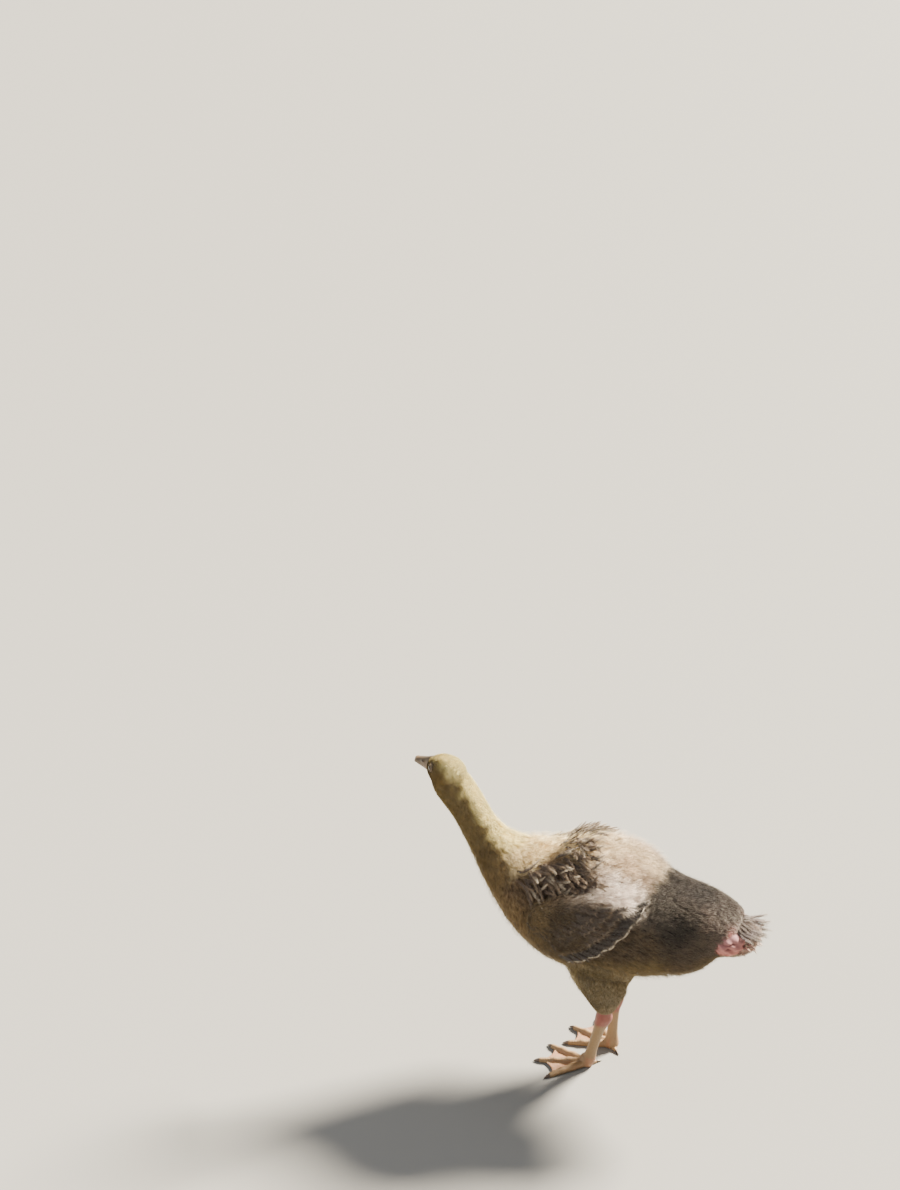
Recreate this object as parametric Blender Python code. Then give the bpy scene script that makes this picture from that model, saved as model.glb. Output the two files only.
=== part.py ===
"""A standing gosling of the curly-feathered domestic goose, about five weeks old, life size.

Metres, +Z up. The gosling faces -X, its left side is -Y, and its feet stand on the floor at Z = 0.
"""

import math
import random

import bmesh
import bpy
from mathutils import Matrix, Vector
from mathutils.bvhtree import BVHTree

MM = 0.001
GAP = 0.3 * MM  # between nodes that meet
SKIN_GAP = 0.36 * MM  # the same gap, where a faceted surface is grown outwards by it
FEATHER_SEED = 11
FAR_OUT = 500 * MM  # well outside the body, where rays towards it start
SHARP_ANGLE = math.radians(42)
FORE_AND_AFT = Vector((1, 0, 0))
ACROSS = Vector((0, 1, 0))
UPRIGHT = Vector((0, 0, 1))
LEFT = -1
RIGHT = 1
SIDES = {"left": LEFT, "right": RIGHT}

# The trunk and neck: one round form from the vent forwards to the crop and up the neck.
# x, z, height above and below that line and half width of its rings, in millimetres.
TRUNK = (
    (191, 213, 3, 3, 3.5),
    (188, 212, 8, 8, 9),
    (179, 208, 17, 17, 18),
    (171, 205, 22, 22, 25),
    (162, 205, 27, 27, 31),
    (150, 209, 34, 35, 39),
    (136, 210, 43, 42, 46),
    (118, 208, 51, 52, 54),
    (96, 205, 57, 59, 61),
    (76, 205, 62, 64, 67),
    (60, 206, 68, 69, 71),
    (43, 208, 79, 75, 75),
    (16, 211, 86, 80, 79),
    (-16, 213, 86, 79, 79),
    (-44, 215, 80, 73, 76),
    (-71, 222, 70, 58, 69),
    (-96, 235, 54, 44, 57),
    (-119, 251, 39, 34, 41),
    (-136, 268, 28.5, 27, 29),
    (-149, 285, 23.5, 23.5, 24),
    (-158, 299, 22.5, 22.5, 22.5),
    (-167, 313, 23, 22.5, 22.5),
    (-178, 327, 24.5, 22.5, 23),
    (-188, 339, 24, 22.5, 22.5),
    (-195, 349, 19, 19, 19),
    (-200, 357, 11, 11, 11),
)
TRUNK_SIDES = 28
TRUNK_STEPS = 1
BELLY_FULLNESS = 0.07  # how much wider a ring is below its middle than above
NECK_BASE = (-133, 264)  # where the neck leaves the trunk, x and z in millimetres
NECK_BASE_TILT = math.radians(48)  # the neck's slope there
NECK_TOP = (-178, 327)
NECK_TOP_TILT = math.radians(52)

# The tail root and the vent are what lies behind this plane, parted by a second one.
RUMP_X = 143 * MM
RUMP_TILT = math.radians(-14)
TAIL_FLOOR = (150, 214.5)
TAIL_FLOOR_TILT = math.radians(-1)

# The head, in its own frame: -X forwards, centred in the cranium.
HEAD_PLACE = Vector((-193.5, 0, 352.5)) * MM
HEAD_YAW = math.radians(37)  # turned to its right
HEAD_PITCH = math.radians(4)  # nodding down
HEAD = (
    (-32, -3, 7, 8, 6.5),
    (-27, -3, 11.5, 12.5, 11),
    (-20, -2, 15.4, 17, 15.4),
    (-10, -1, 19.2, 20, 18.5),
    (2, 0, 20.5, 20.5, 19.5),
    (12, 0, 20.5, 20, 19.3),
    (21, -1.5, 17, 17, 16.5),
    (27, -4, 9, 9, 9),
)
HEAD_SIDES = 20
HEAD_GRAIN = 4.7 * MM  # facet size of the head's rounded skin
HEAD_SMOOTHING = 3
STUB_DEPTH = 9 * MM  # how far past its cut the neck's top is carried while the head is rounded
EYE = Vector((-6, 14.8, 5)) * MM
EYE_RADIUS = 5.2 * MM
LID_RADIUS = 5.7 * MM
LID_THICKNESS = 1.25 * MM
LID_SIDES = 14
LID_CORNERS = 5  # of its round section
LID_STAND_OFF = 2.2 * MM  # the lids' plane, outside the eye's centre
EYE_FORWARD = 0.55  # how far the eyes look forwards and up rather than straight to the side
EYE_UPWARD = 0.4

# The bill, in the head's frame: x, top, bottom and half width of its rings, in millimetres.
UPPER_BILL = (
    (-26.5, 10.2, -4.6, 8.9),
    (-33, 8, -4.7, 8.8),
    (-43, 4.2, -5.0, 8.6),
    (-53, 1, -5.6, 8.4),
    (-60, -1, -6.2, 7.6),
    (-64.6, -2.6, -6.9, 5.4),
    (-67, -4.4, -7.3, 2.6),
)
LOWER_BILL = (
    (-26.5, -4.6, -12.2, 7.7),
    (-34, -4.7, -11.2, 7.5),
    (-44, -5.0, -10.0, 7.3),
    (-54, -5.6, -9.6, 7.0),
    (-61, -6.4, -9.4, 5.8),
    (-64, -7.0, -9.0, 3.6),
)
UPPER_BILL_EDGE = 0.16  # how far up its height each half of the bill is widest
LOWER_BILL_EDGE = 0.86
BILL_SIDES = 12
NAIL = Vector((-63.2, 0, -4.4)) * MM
NAIL_SIZE = Vector((4.8, 4.2, 2.9)) * MM
NOSTRIL = Vector((-42, 0, 0.6)) * MM
NOSTRIL_LENGTH = 6.4 * MM
NOSTRIL_HEIGHT = 2.4 * MM

# The wings, small and folded on the flanks: x, z, half height and half thickness of the arm's rings.
ARM = (
    (-66, 216, 9, 4),
    (-60, 215, 24, 9),
    (-45, 217, 34, 11.5),
    (-21, 223, 39, 11.5),
    (6, 232, 35, 10),
    (31, 242, 25, 8),
    (52, 252, 11, 4),
)
ARM_SIDES = 16
ARM_STAND_OFF = 0.25  # how far its middle lies outside the body, as a share of its half thickness
WING_SHIFT = {
    # how far each folded wing lies along the body and up it, x and z in millimetres
    "left": Vector((0, 0)),
    "right": Vector((-6, -11)),
}
FLIGHT_COUNT = 13
FLIGHT_FIRST_TIP = (-14, 176)  # x and z of the lowest, foremost flight feather's tip
FLIGHT_LAST_TIP = (74, 262)
FLIGHT_BULGE = 11 * MM  # how far the row of tips swells past the straight line
FLIGHT_LENGTH = 46 * MM
FLIGHT_WIDTH = 10.5 * MM
COVERT_ROWS = (
    # how many, how far in from the flight feathers' tips and how high above the body in millimetres,
    # and where along the row of tips the last one lies
    (9, 17, 0, 0.86),
    (7, 31, 3.4, 0.68),
)
COVERT_LENGTH = 30 * MM
COVERT_WIDTH = 10 * MM
SHINGLE = 1.5 * MM  # how far every second feather of a row lies above its neighbours
FLIGHT_SLOPES = (math.radians(-34), math.radians(12))  # how the first and last feather of a row point

# The scapular feathers: curling ribbons in rows along both sides of the back, above the wings.
SCAPULAR_ROWS = (
    # how far round the back from its ridge, in degrees; the first and last x in mm; how many
    (36, -88, 12, 7),
    (29, -76, 20, 6),
    (20, -64, 14, 5),
    (11, -44, 8, 4),
)
BACK_AXIS_Z = 212 * MM  # the height of the line that those angles turn about
SCAPULAR_LENGTH = 31 * MM
SCAPULAR_WIDTH = 7.5 * MM
SCAPULAR_TURN = math.radians(8)  # how far round the back it runs down along its length
SCAPULAR_CURL = 5 * MM

# The tail: a short fan of growing feathers, their ends worn to a brush.
TAIL_ROOT = Vector((160, 0, 218)) * MM
TAIL_HALF_WIDTH = 13 * MM  # across the roots
TAIL_COUNT = 12
TAIL_SPREAD = math.radians(56)
TAIL_LENGTH = 40 * MM
TAIL_WIDTH = 8 * MM
TAIL_DROOP = math.radians(2)
TAIL_ARCH = 1.5 * MM  # how far a tail feather's end bends down
TAIL_SHINGLE = 1.4 * MM
TAIL_COVERTS = Vector((158, 0, 221)) * MM
TAIL_COVERT_HALF_WIDTH = 10 * MM
TAIL_COVERT_COUNT = 7
TAIL_COVERT_LENGTH = 27 * MM
VENT_LOCKS = (
    # x and z of a row's roots, its half width, how many and how long, in millimetres
    (163, 188, 20, 7, 19),
    (172, 197, 13, 5, 20),
)
VENT_LOCK_WIDTH = 9.5 * MM
VENT_LOCK_BEND = 2 * MM  # how far its end bends up
VENT_SPREAD = math.radians(76)
VENT_RISE = math.radians(6)

VANE_EDGE = 0.6 * MM  # thickness at a vane's edges
VANE_SHAFT = 1.2 * MM  # and along its shaft
VANE_SHARES = (0, 0.35, 0.7, 0.9, 1)  # where along its length a vane's width is set
VANE_TAPER = (0.6, 1.0, 1.0, 0.78, 0.36)

# The legs: x, the distance from the middle plane, z, half length and half width of the drumstick.
DRUMSTICK = (
    (-2, 36, 178, 35, 26),
    (3, 37, 156, 36, 27),
    (9, 35, 138, 35.5, 25.5),
    (13, 32, 122, 32, 22.5),
    (15, 29, 110, 26.5, 19.5),
    (15.5, 26.5, 98, 19.5, 16),
    (16.2, 25, 88, 14, 12.8),
    (16.4, 24, 80, 10.6, 10.4),
)
DRUMSTICK_SIDES = 18
SHANK_SIDES = 12
HOCK = Vector((16, 24, 80)) * MM
SHANK = (
    # height, half length and half width, and how far behind the line from hock to foot
    (80, 9.6, 9.0, 0),
    (74, 10.4, 9.2, 1.2),
    (66, 9.2, 7.4, 1.0),
    (55, 7.0, 5.4, 0.2),
    (36, 6.4, 5.0, 0),
    (21, 6.8, 5.6, 0),
    (13, 8.2, 7.2, 0),
)
FOOT = {
    # x and y of the ankle, and the way that the middle toe points
    "left": (-5, 20, math.radians(14)),
    "right": (13, 27, math.radians(20)),
}
FOOT_TOP = 12.7 * MM
TOE_SPREAD = math.radians(35)
TOES = {
    # length of the toe, angle from the middle toe, outwards
    "middle": (57, 0.0),
    "outer": (53, 1.0),
    "inner": (53, -1.0),
}
TOE_ROOT = 5.4 * MM
TOE_TIP = 3.1 * MM
TOE_KNUCKLES = (0.38, 0.68)
TOE_SIDES = 8
WEB_THICKNESS = 1.3 * MM
WEB_HEIGHT = 2.6 * MM
WEB_REACH = 0.93  # how far along the toes the web runs
WEB_HOLLOW = 0.13  # how far its free edge is drawn in
HALLUX_LENGTH = 13 * MM
CLAW_LENGTH = 8 * MM
CLAW_DROP = 1.6 * MM
CLAW_SIDES = 6

COLOURS = {
    # base colour and roughness of each material
    "down_body": ((0.23, 0.18, 0.135), 0.95),
    "down_neck": ((0.40, 0.33, 0.19), 0.95),
    "down_vent": ((0.72, 0.50, 0.46), 0.9),
    "feather": ((0.16, 0.13, 0.105), 0.8),
    "bill": ((0.20, 0.13, 0.095), 0.45),
    "bill_nail": ((0.12, 0.09, 0.075), 0.4),
    "eye": ((0.012, 0.009, 0.007), 0.06),
    "leg_skin": ((0.55, 0.32, 0.20), 0.5),
    "claw": ((0.10, 0.075, 0.06), 0.4),
}


def clear_scene():
    for old in list(bpy.data.objects):
        bpy.data.objects.remove(old, do_unlink=True)


def material(name):
    """The named Principled material, made the first time it is asked for."""
    found = bpy.data.materials.get(name)
    if found:
        return found
    colour, roughness = COLOURS[name]
    made = bpy.data.materials.new(name)
    made.use_nodes = True
    shader = made.node_tree.nodes["Principled BSDF"]
    shader.inputs["Base Color"].default_value = (*colour, 1)
    shader.inputs["Roughness"].default_value = roughness
    shader.inputs["Metallic"].default_value = 0
    return made


def to_object(name, mesh_data, finish):
    """A finished bmesh as a named object with its material."""
    bmesh.ops.recalc_face_normals(mesh_data, faces=mesh_data.faces)
    bmesh.ops.triangulate(mesh_data, faces=[f for f in mesh_data.faces if len(f.verts) > 3])
    mesh = bpy.data.meshes.new(name)
    mesh_data.to_mesh(mesh)
    mesh_data.free()
    mesh.materials.append(material(finish))
    made = bpy.data.objects.new(name, mesh)
    bpy.context.scene.collection.objects.link(made)
    return made


def smooth_table(rows, steps):
    """The rows of a size table with `steps` spans between each pair, by a Catmull-Rom curve."""
    rows = [Vector(row) for row in rows]
    ends = [2 * rows[0] - rows[1], *rows, 2 * rows[-1] - rows[-2]]
    curve = []
    for i in range(len(rows) - 1):
        a, b, c, d = ends[i : i + 4]
        for k in range(steps):
            t = k / steps
            curve.append(
                0.5
                * (2 * b + (c - a) * t + (2 * a - 5 * b + 4 * c - d) * t**2 + (3 * b - a - 3 * c + d) * t**3)
            )
    return curve + [rows[-1]]


def ring(centre, up, side, heights, half_width, sides, fullness=0.0):
    """Points of an oval ring with its own height above and below, wider below by `fullness`."""
    above, below = heights
    points = []
    for k in range(sides):
        angle = 2 * math.pi * k / sides
        height = above if math.cos(angle) > 0 else below
        width = half_width * (1 - fullness * math.cos(angle))
        points.append(centre + up * height * math.cos(angle) + side * width * math.sin(angle))
    return points


def loft(name, rings, finish):
    """A closed solid through rings of points."""
    shape = bmesh.new()
    loops = []
    for points in rings:
        corners = [shape.verts.new(p) for p in points]
        loops.append((corners, [shape.edges.new(e) for e in zip(corners, corners[1:] + corners[:1])]))
    for (_, near), (_, far) in zip(loops, loops[1:]):
        bmesh.ops.bridge_loops(shape, edges=near + far)
    shape.faces.new(loops[0][0])
    shape.faces.new(loops[-1][0])
    return to_object(name, shape, finish)


def spine_rings(table, steps, sides, fullness=0.0):
    """Rings square to a curve in the plane Y = 0: x, z, height above and below, and half width."""
    rows = smooth_table(table, steps)
    rings = []
    for i, row in enumerate(rows):
        ahead = rows[min(i + 1, len(rows) - 1)]
        behind = rows[max(i - 1, 0)]
        along = Vector((ahead[0] - behind[0], 0, ahead[1] - behind[1])).normalized()
        up = Vector((0, 1, 0)).cross(along)
        if up.z < 0:
            up = -up
        centre = Vector((row[0], 0, row[1])) * MM
        heights = (row[2] * MM, row[3] * MM)
        rings.append(ring(centre, up, ACROSS, heights, row[4] * MM, sides, fullness))
    return rings


def evaluated_copy(thing):
    """Puts what an object's modifiers make of its mesh in that mesh's place."""
    graph = bpy.context.evaluated_depsgraph_get()
    mesh = bpy.data.meshes.new_from_object(thing.evaluated_get(graph))
    thing.modifiers.clear()
    thing.data = mesh
    return thing


def largest_surface(thing):
    """Keeps only the largest closed surface of an object."""
    shape = bmesh.new()
    shape.from_mesh(thing.data)
    left = set(shape.verts)
    groups = []
    while left:
        start = left.pop()
        group, edge = [start], [start]
        while edge:
            for link in edge.pop().link_edges:
                for corner in link.verts:
                    if corner in left:
                        left.discard(corner)
                        group.append(corner)
                        edge.append(corner)
        groups.append(group)
    groups.sort(key=len)
    bmesh.ops.delete(shape, geom=[v for group in groups[:-1] for v in group], context="VERTS")
    bmesh.ops.dissolve_degenerate(shape, dist=1e-6, edges=shape.edges)
    bmesh.ops.triangulate(shape, faces=[f for f in shape.faces if len(f.verts) > 3])
    shape.to_mesh(thing.data)
    shape.free()
    return thing


def join_pieces(base, pieces):
    """One Boolean union of a node's pieces, which are then removed."""
    group = bpy.data.collections.new(base.name + "_pieces")
    bpy.context.scene.collection.children.link(group)
    for piece in pieces:
        bpy.context.scene.collection.objects.unlink(piece)
        group.objects.link(piece)
    union = base.modifiers.new("join", "BOOLEAN")
    union.operation = "UNION"
    union.operand_type = "COLLECTION"
    union.collection = group
    union.solver = "EXACT"
    evaluated_copy(base)
    for piece in list(pieces):
        bpy.data.objects.remove(piece, do_unlink=True)
    bpy.data.collections.remove(group)
    return largest_surface(base)


def subtract(thing, cutter):
    """Cuts one closed object away from another, and removes the cutter."""
    cut = thing.modifiers.new("cut", "BOOLEAN")
    cut.operation = "DIFFERENCE"
    cut.object = cutter
    cut.solver = "EXACT"
    evaluated_copy(thing)
    bpy.data.objects.remove(cutter, do_unlink=True)
    return largest_surface(thing)


def soften(thing, grain, rounds):
    """Remakes a solid with even facets and rounds off the creases where its pieces met."""
    even = thing.modifiers.new("even", "REMESH")
    even.mode = "VOXEL"
    even.voxel_size = grain
    rounding = thing.modifiers.new("rounding", "SMOOTH")
    rounding.factor = 0.5
    rounding.iterations = rounds
    return evaluated_copy(thing)


def grown_copy(thing, distance):
    """A copy of an object with its surface moved outwards, as a cutter that leaves a gap."""
    shape = bmesh.new()
    shape.from_mesh(thing.data)
    shape.normal_update()
    moves = [(corner, corner.normal * distance) for corner in shape.verts]
    for corner, move in moves:
        corner.co += move
    copy = thing.copy()
    copy.data = thing.data.copy()
    shape.to_mesh(copy.data)
    shape.free()
    bpy.context.scene.collection.objects.link(copy)
    return copy


def sliced(thing, name, planes, finish):
    """The part of an object on the inner side of some planes, each a point and an outward normal."""
    shape = bmesh.new()
    shape.from_mesh(thing.data)
    for point, outward in planes:
        geometry = shape.verts[:] + shape.edges[:] + shape.faces[:]
        cut = bmesh.ops.bisect_plane(
            shape, geom=geometry, dist=1e-7, plane_co=point, plane_no=outward, clear_outer=True
        )
        rim = [e for e in cut["geom_cut"] if isinstance(e, bmesh.types.BMEdge) and e.is_valid]
        bmesh.ops.holes_fill(shape, edges=rim)
    return to_object(name, shape, finish)


def sagittal_plane(place, tilt):
    """A point on a plane square to the plane Y = 0, and its normal, which leans up by the tilt."""
    normal = Vector((-math.cos(tilt), 0, math.sin(tilt)))
    return Vector((place[0], 0, place[1])) * MM, normal


def both_sides(point, normal):
    """The two faces of a thin cut."""
    half = normal * GAP / 2
    return (point - half, normal), (point + half, -normal)


def vane(path, across, widths, outward):
    """A feather's vane as a thin closed solid along a path: ridged at the shaft, even at its edges."""
    shape = bmesh.new()
    rings = []
    for i, (centre, width) in enumerate(zip(path, widths)):
        along = (path[min(i + 1, len(path) - 1)] - path[max(i - 1, 0)]).normalized()
        side = (across - along * across.dot(along)).normalized()
        up = side.cross(along)
        if up.dot(outward) < 0:
            up = -up
        taper = 0.75 + 0.25 * width / max(widths)
        edge = up * VANE_EDGE / 2 * taper
        shaft = up * VANE_SHAFT / 2 * taper
        reach = side * width / 2
        points = (reach + edge, shaft, edge - reach, -edge - reach, -shaft, reach - edge)
        rings.append([shape.verts.new(centre + p) for p in points])
    for near, far in zip(rings, rings[1:]):
        for k in range(6):
            a, b, c, d = near[k], near[(k + 1) % 6], far[(k + 1) % 6], far[k]
            if k in (3, 4):
                shape.faces.new((a, b, d))
                shape.faces.new((b, c, d))
            else:
                shape.faces.new((a, b, c))
                shape.faces.new((a, c, d))
    for end in (rings[0], rings[-1]):
        shape.faces.new((end[0], end[1], end[4], end[5]))
        shape.faces.new((end[1], end[2], end[3], end[4]))
    return to_object("vane", shape, "feather")


def surface_of(thing):
    shape = bmesh.new()
    shape.from_mesh(thing.data)
    tree = BVHTree.FromBMesh(shape)
    shape.free()
    return tree


def on_flank(body, x, z, side):
    """The point of the body's surface at x and z on one side, and its outward normal."""
    start = Vector((x, side * FAR_OUT, z))
    hit, normal, _, _ = body.ray_cast(start, Vector((0, -side, 0)))
    return hit, normal


def make_trunk():
    """The whole trunk and neck, and the nodes that it is parted into."""
    whole = loft("whole", spine_rings(TRUNK, TRUNK_STEPS, TRUNK_SIDES, BELLY_FULLNESS), "down_body")
    below_neck, above_neck = both_sides(*sagittal_plane(NECK_BASE, NECK_BASE_TILT))
    rump_normal = Vector((math.cos(RUMP_TILT), 0, math.sin(RUMP_TILT)))
    rump_point = Vector((RUMP_X, 0, TAIL_FLOOR[1] * MM))
    before_rump, behind_rump = both_sides(rump_point, rump_normal)
    floor_point = Vector((TAIL_FLOOR[0], 0, TAIL_FLOOR[1])) * MM
    floor_normal = Vector((math.sin(TAIL_FLOOR_TILT), 0, math.cos(TAIL_FLOOR_TILT)))
    below_tail, above_floor = both_sides(floor_point, floor_normal)
    torso = sliced(whole, "torso", [below_neck, before_rump], "down_body")
    neck = sliced(whole, "neck", [above_neck], "down_neck")
    tail = sliced(whole, "tail", [behind_rump, above_floor], "down_body")
    vent = sliced(whole, "vent", [behind_rump, below_tail], "down_vent")
    bpy.data.objects.remove(whole, do_unlink=True)
    return torso, neck, tail, vent


def head_frame():
    """The matrix that carries the head's own frame to its place."""
    turn = Matrix.Rotation(-HEAD_YAW, 4, "Z") @ Matrix.Rotation(-HEAD_PITCH, 4, "Y")
    return Matrix.Translation(HEAD_PLACE) @ turn


def placed(thing, matrix):
    thing.data.transform(matrix)
    return thing


def ellipsoid(name, centre, size, finish, segments=14, rings=8):
    shape = bmesh.new()
    bmesh.ops.create_uvsphere(shape, u_segments=segments, v_segments=rings, radius=1)
    bmesh.ops.scale(shape, vec=size, verts=shape.verts)
    bmesh.ops.translate(shape, vec=centre, verts=shape.verts)
    return to_object(name, shape, finish)


def eyelid(side):
    """A raised ring of skin round one eye, facing outwards."""
    shape = bmesh.new()
    bmesh.ops.create_circle(shape, segments=LID_CORNERS, radius=LID_THICKNESS)
    bmesh.ops.rotate(shape, cent=(0, 0, 0), matrix=Matrix.Rotation(math.pi / 2, 3, "X"), verts=shape.verts)
    bmesh.ops.translate(shape, vec=(LID_RADIUS, 0, 0), verts=shape.verts)
    bmesh.ops.spin(
        shape, geom=shape.verts[:] + shape.edges[:], cent=(0, 0, 0), axis=(0, 0, 1),
        angle=2 * math.pi, steps=LID_SIDES, use_merge=True,
    )
    facing = Vector((EYE.x * EYE_FORWARD, side * EYE.y, EYE.z * EYE_UPWARD))
    turn = facing.to_track_quat("Z", "X").to_matrix().to_4x4()
    place = Vector((EYE.x, side * EYE.y, EYE.z)) + facing.normalized() * LID_STAND_OFF
    bmesh.ops.transform(shape, matrix=Matrix.Translation(place) @ turn, verts=shape.verts)
    return to_object("eyelid", shape, "down_neck")


def bill_rings(table, widest):
    """Rings of one half of the bill, widest at the edge where the halves meet."""
    rings = []
    for x, top, bottom, half_width in table:
        middle = bottom + (top - bottom) * widest
        points = []
        for k in range(BILL_SIDES):
            angle = 2 * math.pi * k / BILL_SIDES
            rise = math.cos(angle)
            height = (top - middle) if rise > 0 else (middle - bottom)
            width = half_width * math.copysign(abs(math.sin(angle)) ** 0.8, math.sin(angle))
            points.append(Vector((x, width, middle + height * rise)) * MM)
        rings.append(points)
    return rings


def make_head(neck):
    """The head with its eyelids, fused with the top of the neck, then the bill and the eyes."""
    frame = head_frame()
    head = placed(loft("head", spine_rings(HEAD, 2, HEAD_SIDES), "down_neck"), frame)
    lids = [placed(eyelid(side), frame) for side in SIDES.values()]
    neck_side, head_side = both_sides(*sagittal_plane(NECK_TOP, NECK_TOP_TILT))
    cut_point, outward = head_side
    neck_stub = sliced(neck, "neck_stub", [(cut_point + outward * STUB_DEPTH, outward)], "down_neck")
    lower_neck = sliced(neck, "neck", [neck_side], "down_neck")
    bpy.data.objects.remove(neck, do_unlink=True)
    lower_neck.name = "neck"
    join_pieces(head, [neck_stub])
    soften(head, HEAD_GRAIN, HEAD_SMOOTHING)
    join_pieces(head, lids)
    trimmed = sliced(head, "head", [head_side], "down_neck")
    bpy.data.objects.remove(head, do_unlink=True)
    trimmed.name = "head"
    chest = grown_copy(lower_neck, SKIN_GAP)
    subtract(trimmed, chest)
    for word, side in SIDES.items():
        centre = Vector((EYE.x, side * EYE.y, EYE.z))
        size = Vector((1, 1, 1)) * EYE_RADIUS
        placed(ellipsoid("eye_" + word, centre, size, "eye"), frame)
        socket = placed(ellipsoid("socket", centre, size + Vector((1, 1, 1)) * SKIN_GAP, "eye"), frame)
        subtract(trimmed, socket)
    make_bill(trimmed, frame)
    return trimmed


def make_bill(head, frame):
    """Upper and lower bill, which part at the line of the mouth, with the nail and the nostrils."""
    upper = loft("bill_upper", bill_rings(UPPER_BILL, UPPER_BILL_EDGE), "bill")
    nail = ellipsoid("nail", NAIL, NAIL_SIZE, "bill_nail", 10, 6)
    join_pieces(upper, [nail])
    nostril = ellipsoid(
        "nostril", NOSTRIL, Vector((NOSTRIL_LENGTH / 2, 20 * MM, NOSTRIL_HEIGHT / 2)), "bill", 8, 6
    )
    subtract(upper, nostril)
    lower = loft("bill_lower", bill_rings(LOWER_BILL, LOWER_BILL_EDGE), "bill")
    mouth = grown_copy(upper, SKIN_GAP)
    subtract(lower, mouth)
    for half in (upper, lower):
        placed(half, frame)
        subtract(half, grown_copy(head, SKIN_GAP))


def make_wing(word, side, torso):
    """A small folded wing: the arm, a row of growing flight feathers and a row of coverts over them."""
    body = surface_of(torso)
    shift = WING_SHIFT[word] * MM
    rings = []
    for x, z, half_height, half_thickness in smooth_table(ARM, 2):
        hit, normal = on_flank(body, x * MM + shift.x, z * MM + shift.y, side)
        up = UPRIGHT - normal * normal.z
        centre = hit + normal * half_thickness * ARM_STAND_OFF * MM
        rings.append(
            ring(centre, up.normalized(), normal, [half_height * MM] * 2, half_thickness * MM, ARM_SIDES)
        )
    arm = loft("wing_" + word, rings, "down_body")
    pieces = flight_feathers(side, body, shift) + wing_coverts(side, body, shift)
    join_pieces(arm, pieces)
    subtract(arm, grown_copy(torso, SKIN_GAP))
    return arm


def flight_tip(share, draw_in):
    """Where along the row of tips a flight feather ends, x and z, drawn in towards the arm."""
    first = Vector(FLIGHT_FIRST_TIP) * MM
    last = Vector(FLIGHT_LAST_TIP) * MM
    out = Vector((last.y - first.y, first.x - last.x)).normalized()
    bulge = FLIGHT_BULGE * 4 * share * (1 - share)
    return first.lerp(last, share) + out * (bulge - draw_in)


def flight_way(share):
    """The way a flight feather points, from down and back at the hand to straight back at the elbow."""
    angle = FLIGHT_SLOPES[0] + (FLIGHT_SLOPES[1] - FLIGHT_SLOPES[0]) * share
    return Vector((math.cos(angle), math.sin(angle)))


def laid_vane(side, body, tip, way, length, width, lifts):
    """A vane laid along the flank from its root to its tip, at given heights above the body."""
    path = []
    for share, lift in zip(VANE_SHARES, lifts):
        place = tip - way * length * (1 - share)
        hit, normal = on_flank(body, place.x, place.y, side)
        path.append(hit + normal * lift)
    across = Vector((-way.y, 0, way.x))
    widths = [width * s for s in VANE_TAPER]
    _, outward = on_flank(body, tip.x, tip.y, side)
    return vane(path, across, widths, outward)


def flight_feathers(side, body, shift):
    feathers = []
    for i in range(FLIGHT_COUNT):
        share = i / (FLIGHT_COUNT - 1)
        lifts = [h * MM + SHINGLE * (i % 2) for h in (1.5, 4.0, 4.5, 4.2, 4.0)]
        tip = flight_tip(share, 0) + shift
        feathers.append(laid_vane(side, body, tip, flight_way(share), FLIGHT_LENGTH, FLIGHT_WIDTH, lifts))
    return feathers


def wing_coverts(side, body, shift):
    coverts = []
    for count, draw_in, rise, last in COVERT_ROWS:
        for i in range(count):
            share = last * (i + 0.4) / (count - 0.6)
            lifts = [(h + rise) * MM + SHINGLE * (i % 2) for h in (4.0, 8.0, 9.0, 8.6, 8.2)]
            tip = flight_tip(share, draw_in * MM) + shift
            coverts.append(laid_vane(side, body, tip, flight_way(share), COVERT_LENGTH, COVERT_WIDTH, lifts))
    return coverts


def on_back(body, x, angle, side):
    """The body's surface at x and at an angle round the back, and its outward normal."""
    way = Vector((0, side * math.sin(angle), math.cos(angle)))
    hit, normal, _, _ = body.ray_cast(Vector((x, 0, BACK_AXIS_Z)), way)
    return hit, normal


def add_scapulars(torso):
    """Curling ribbon feathers in rows on both sides of the back, fused with the torso."""
    body = surface_of(torso)
    chance = random.Random(FEATHER_SEED)
    pieces = []
    for side in SIDES.values():
        for row, (angle, first, last, count) in enumerate(SCAPULAR_ROWS):
            for i in range(count):
                x = first + (last - first) * i / (count - 1) + chance.uniform(-3, 3)
                length = SCAPULAR_LENGTH * chance.uniform(0.88, 1.1)
                curl = SCAPULAR_CURL * chance.uniform(0.6, 1.3)
                pieces.append(scapular(body, side, x * MM, math.radians(angle), length, curl))
    return join_pieces(torso, pieces)


def scapular(body, side, x, angle, length, curl):
    """One scapular feather, rooted in the back and curling off it towards its tip."""
    path = []
    for share, lift in ((0, -2.5), (0.34, 2.2), (0.68, 3.0), (1, 3.2)):
        hit, normal = on_back(body, x + length * share, angle + SCAPULAR_TURN * share, side)
        path.append(hit + normal * (lift * MM + curl * share**3))
    _, normal = on_back(body, x, angle, side)
    across = normal.cross(path[1] - path[0])
    widths = [SCAPULAR_WIDTH * s for s in (0.6, 1.0, 0.8, 0.35)]
    return vane(path, across, widths, normal)


def fan_feather(root, angle, rise, length, width, arch):
    """One straight feather that points back at an angle to the middle plane, its end bent down."""
    way = Vector((math.cos(angle) * math.cos(rise), math.sin(angle) * math.cos(rise), math.sin(rise)))
    path = [root + way * length * share - UPRIGHT * arch * share * share for share in VANE_SHARES]
    across = Vector((-math.sin(angle), math.cos(angle), 0))
    return vane(path, across, [width * s for s in VANE_TAPER], UPRIGHT)


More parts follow.
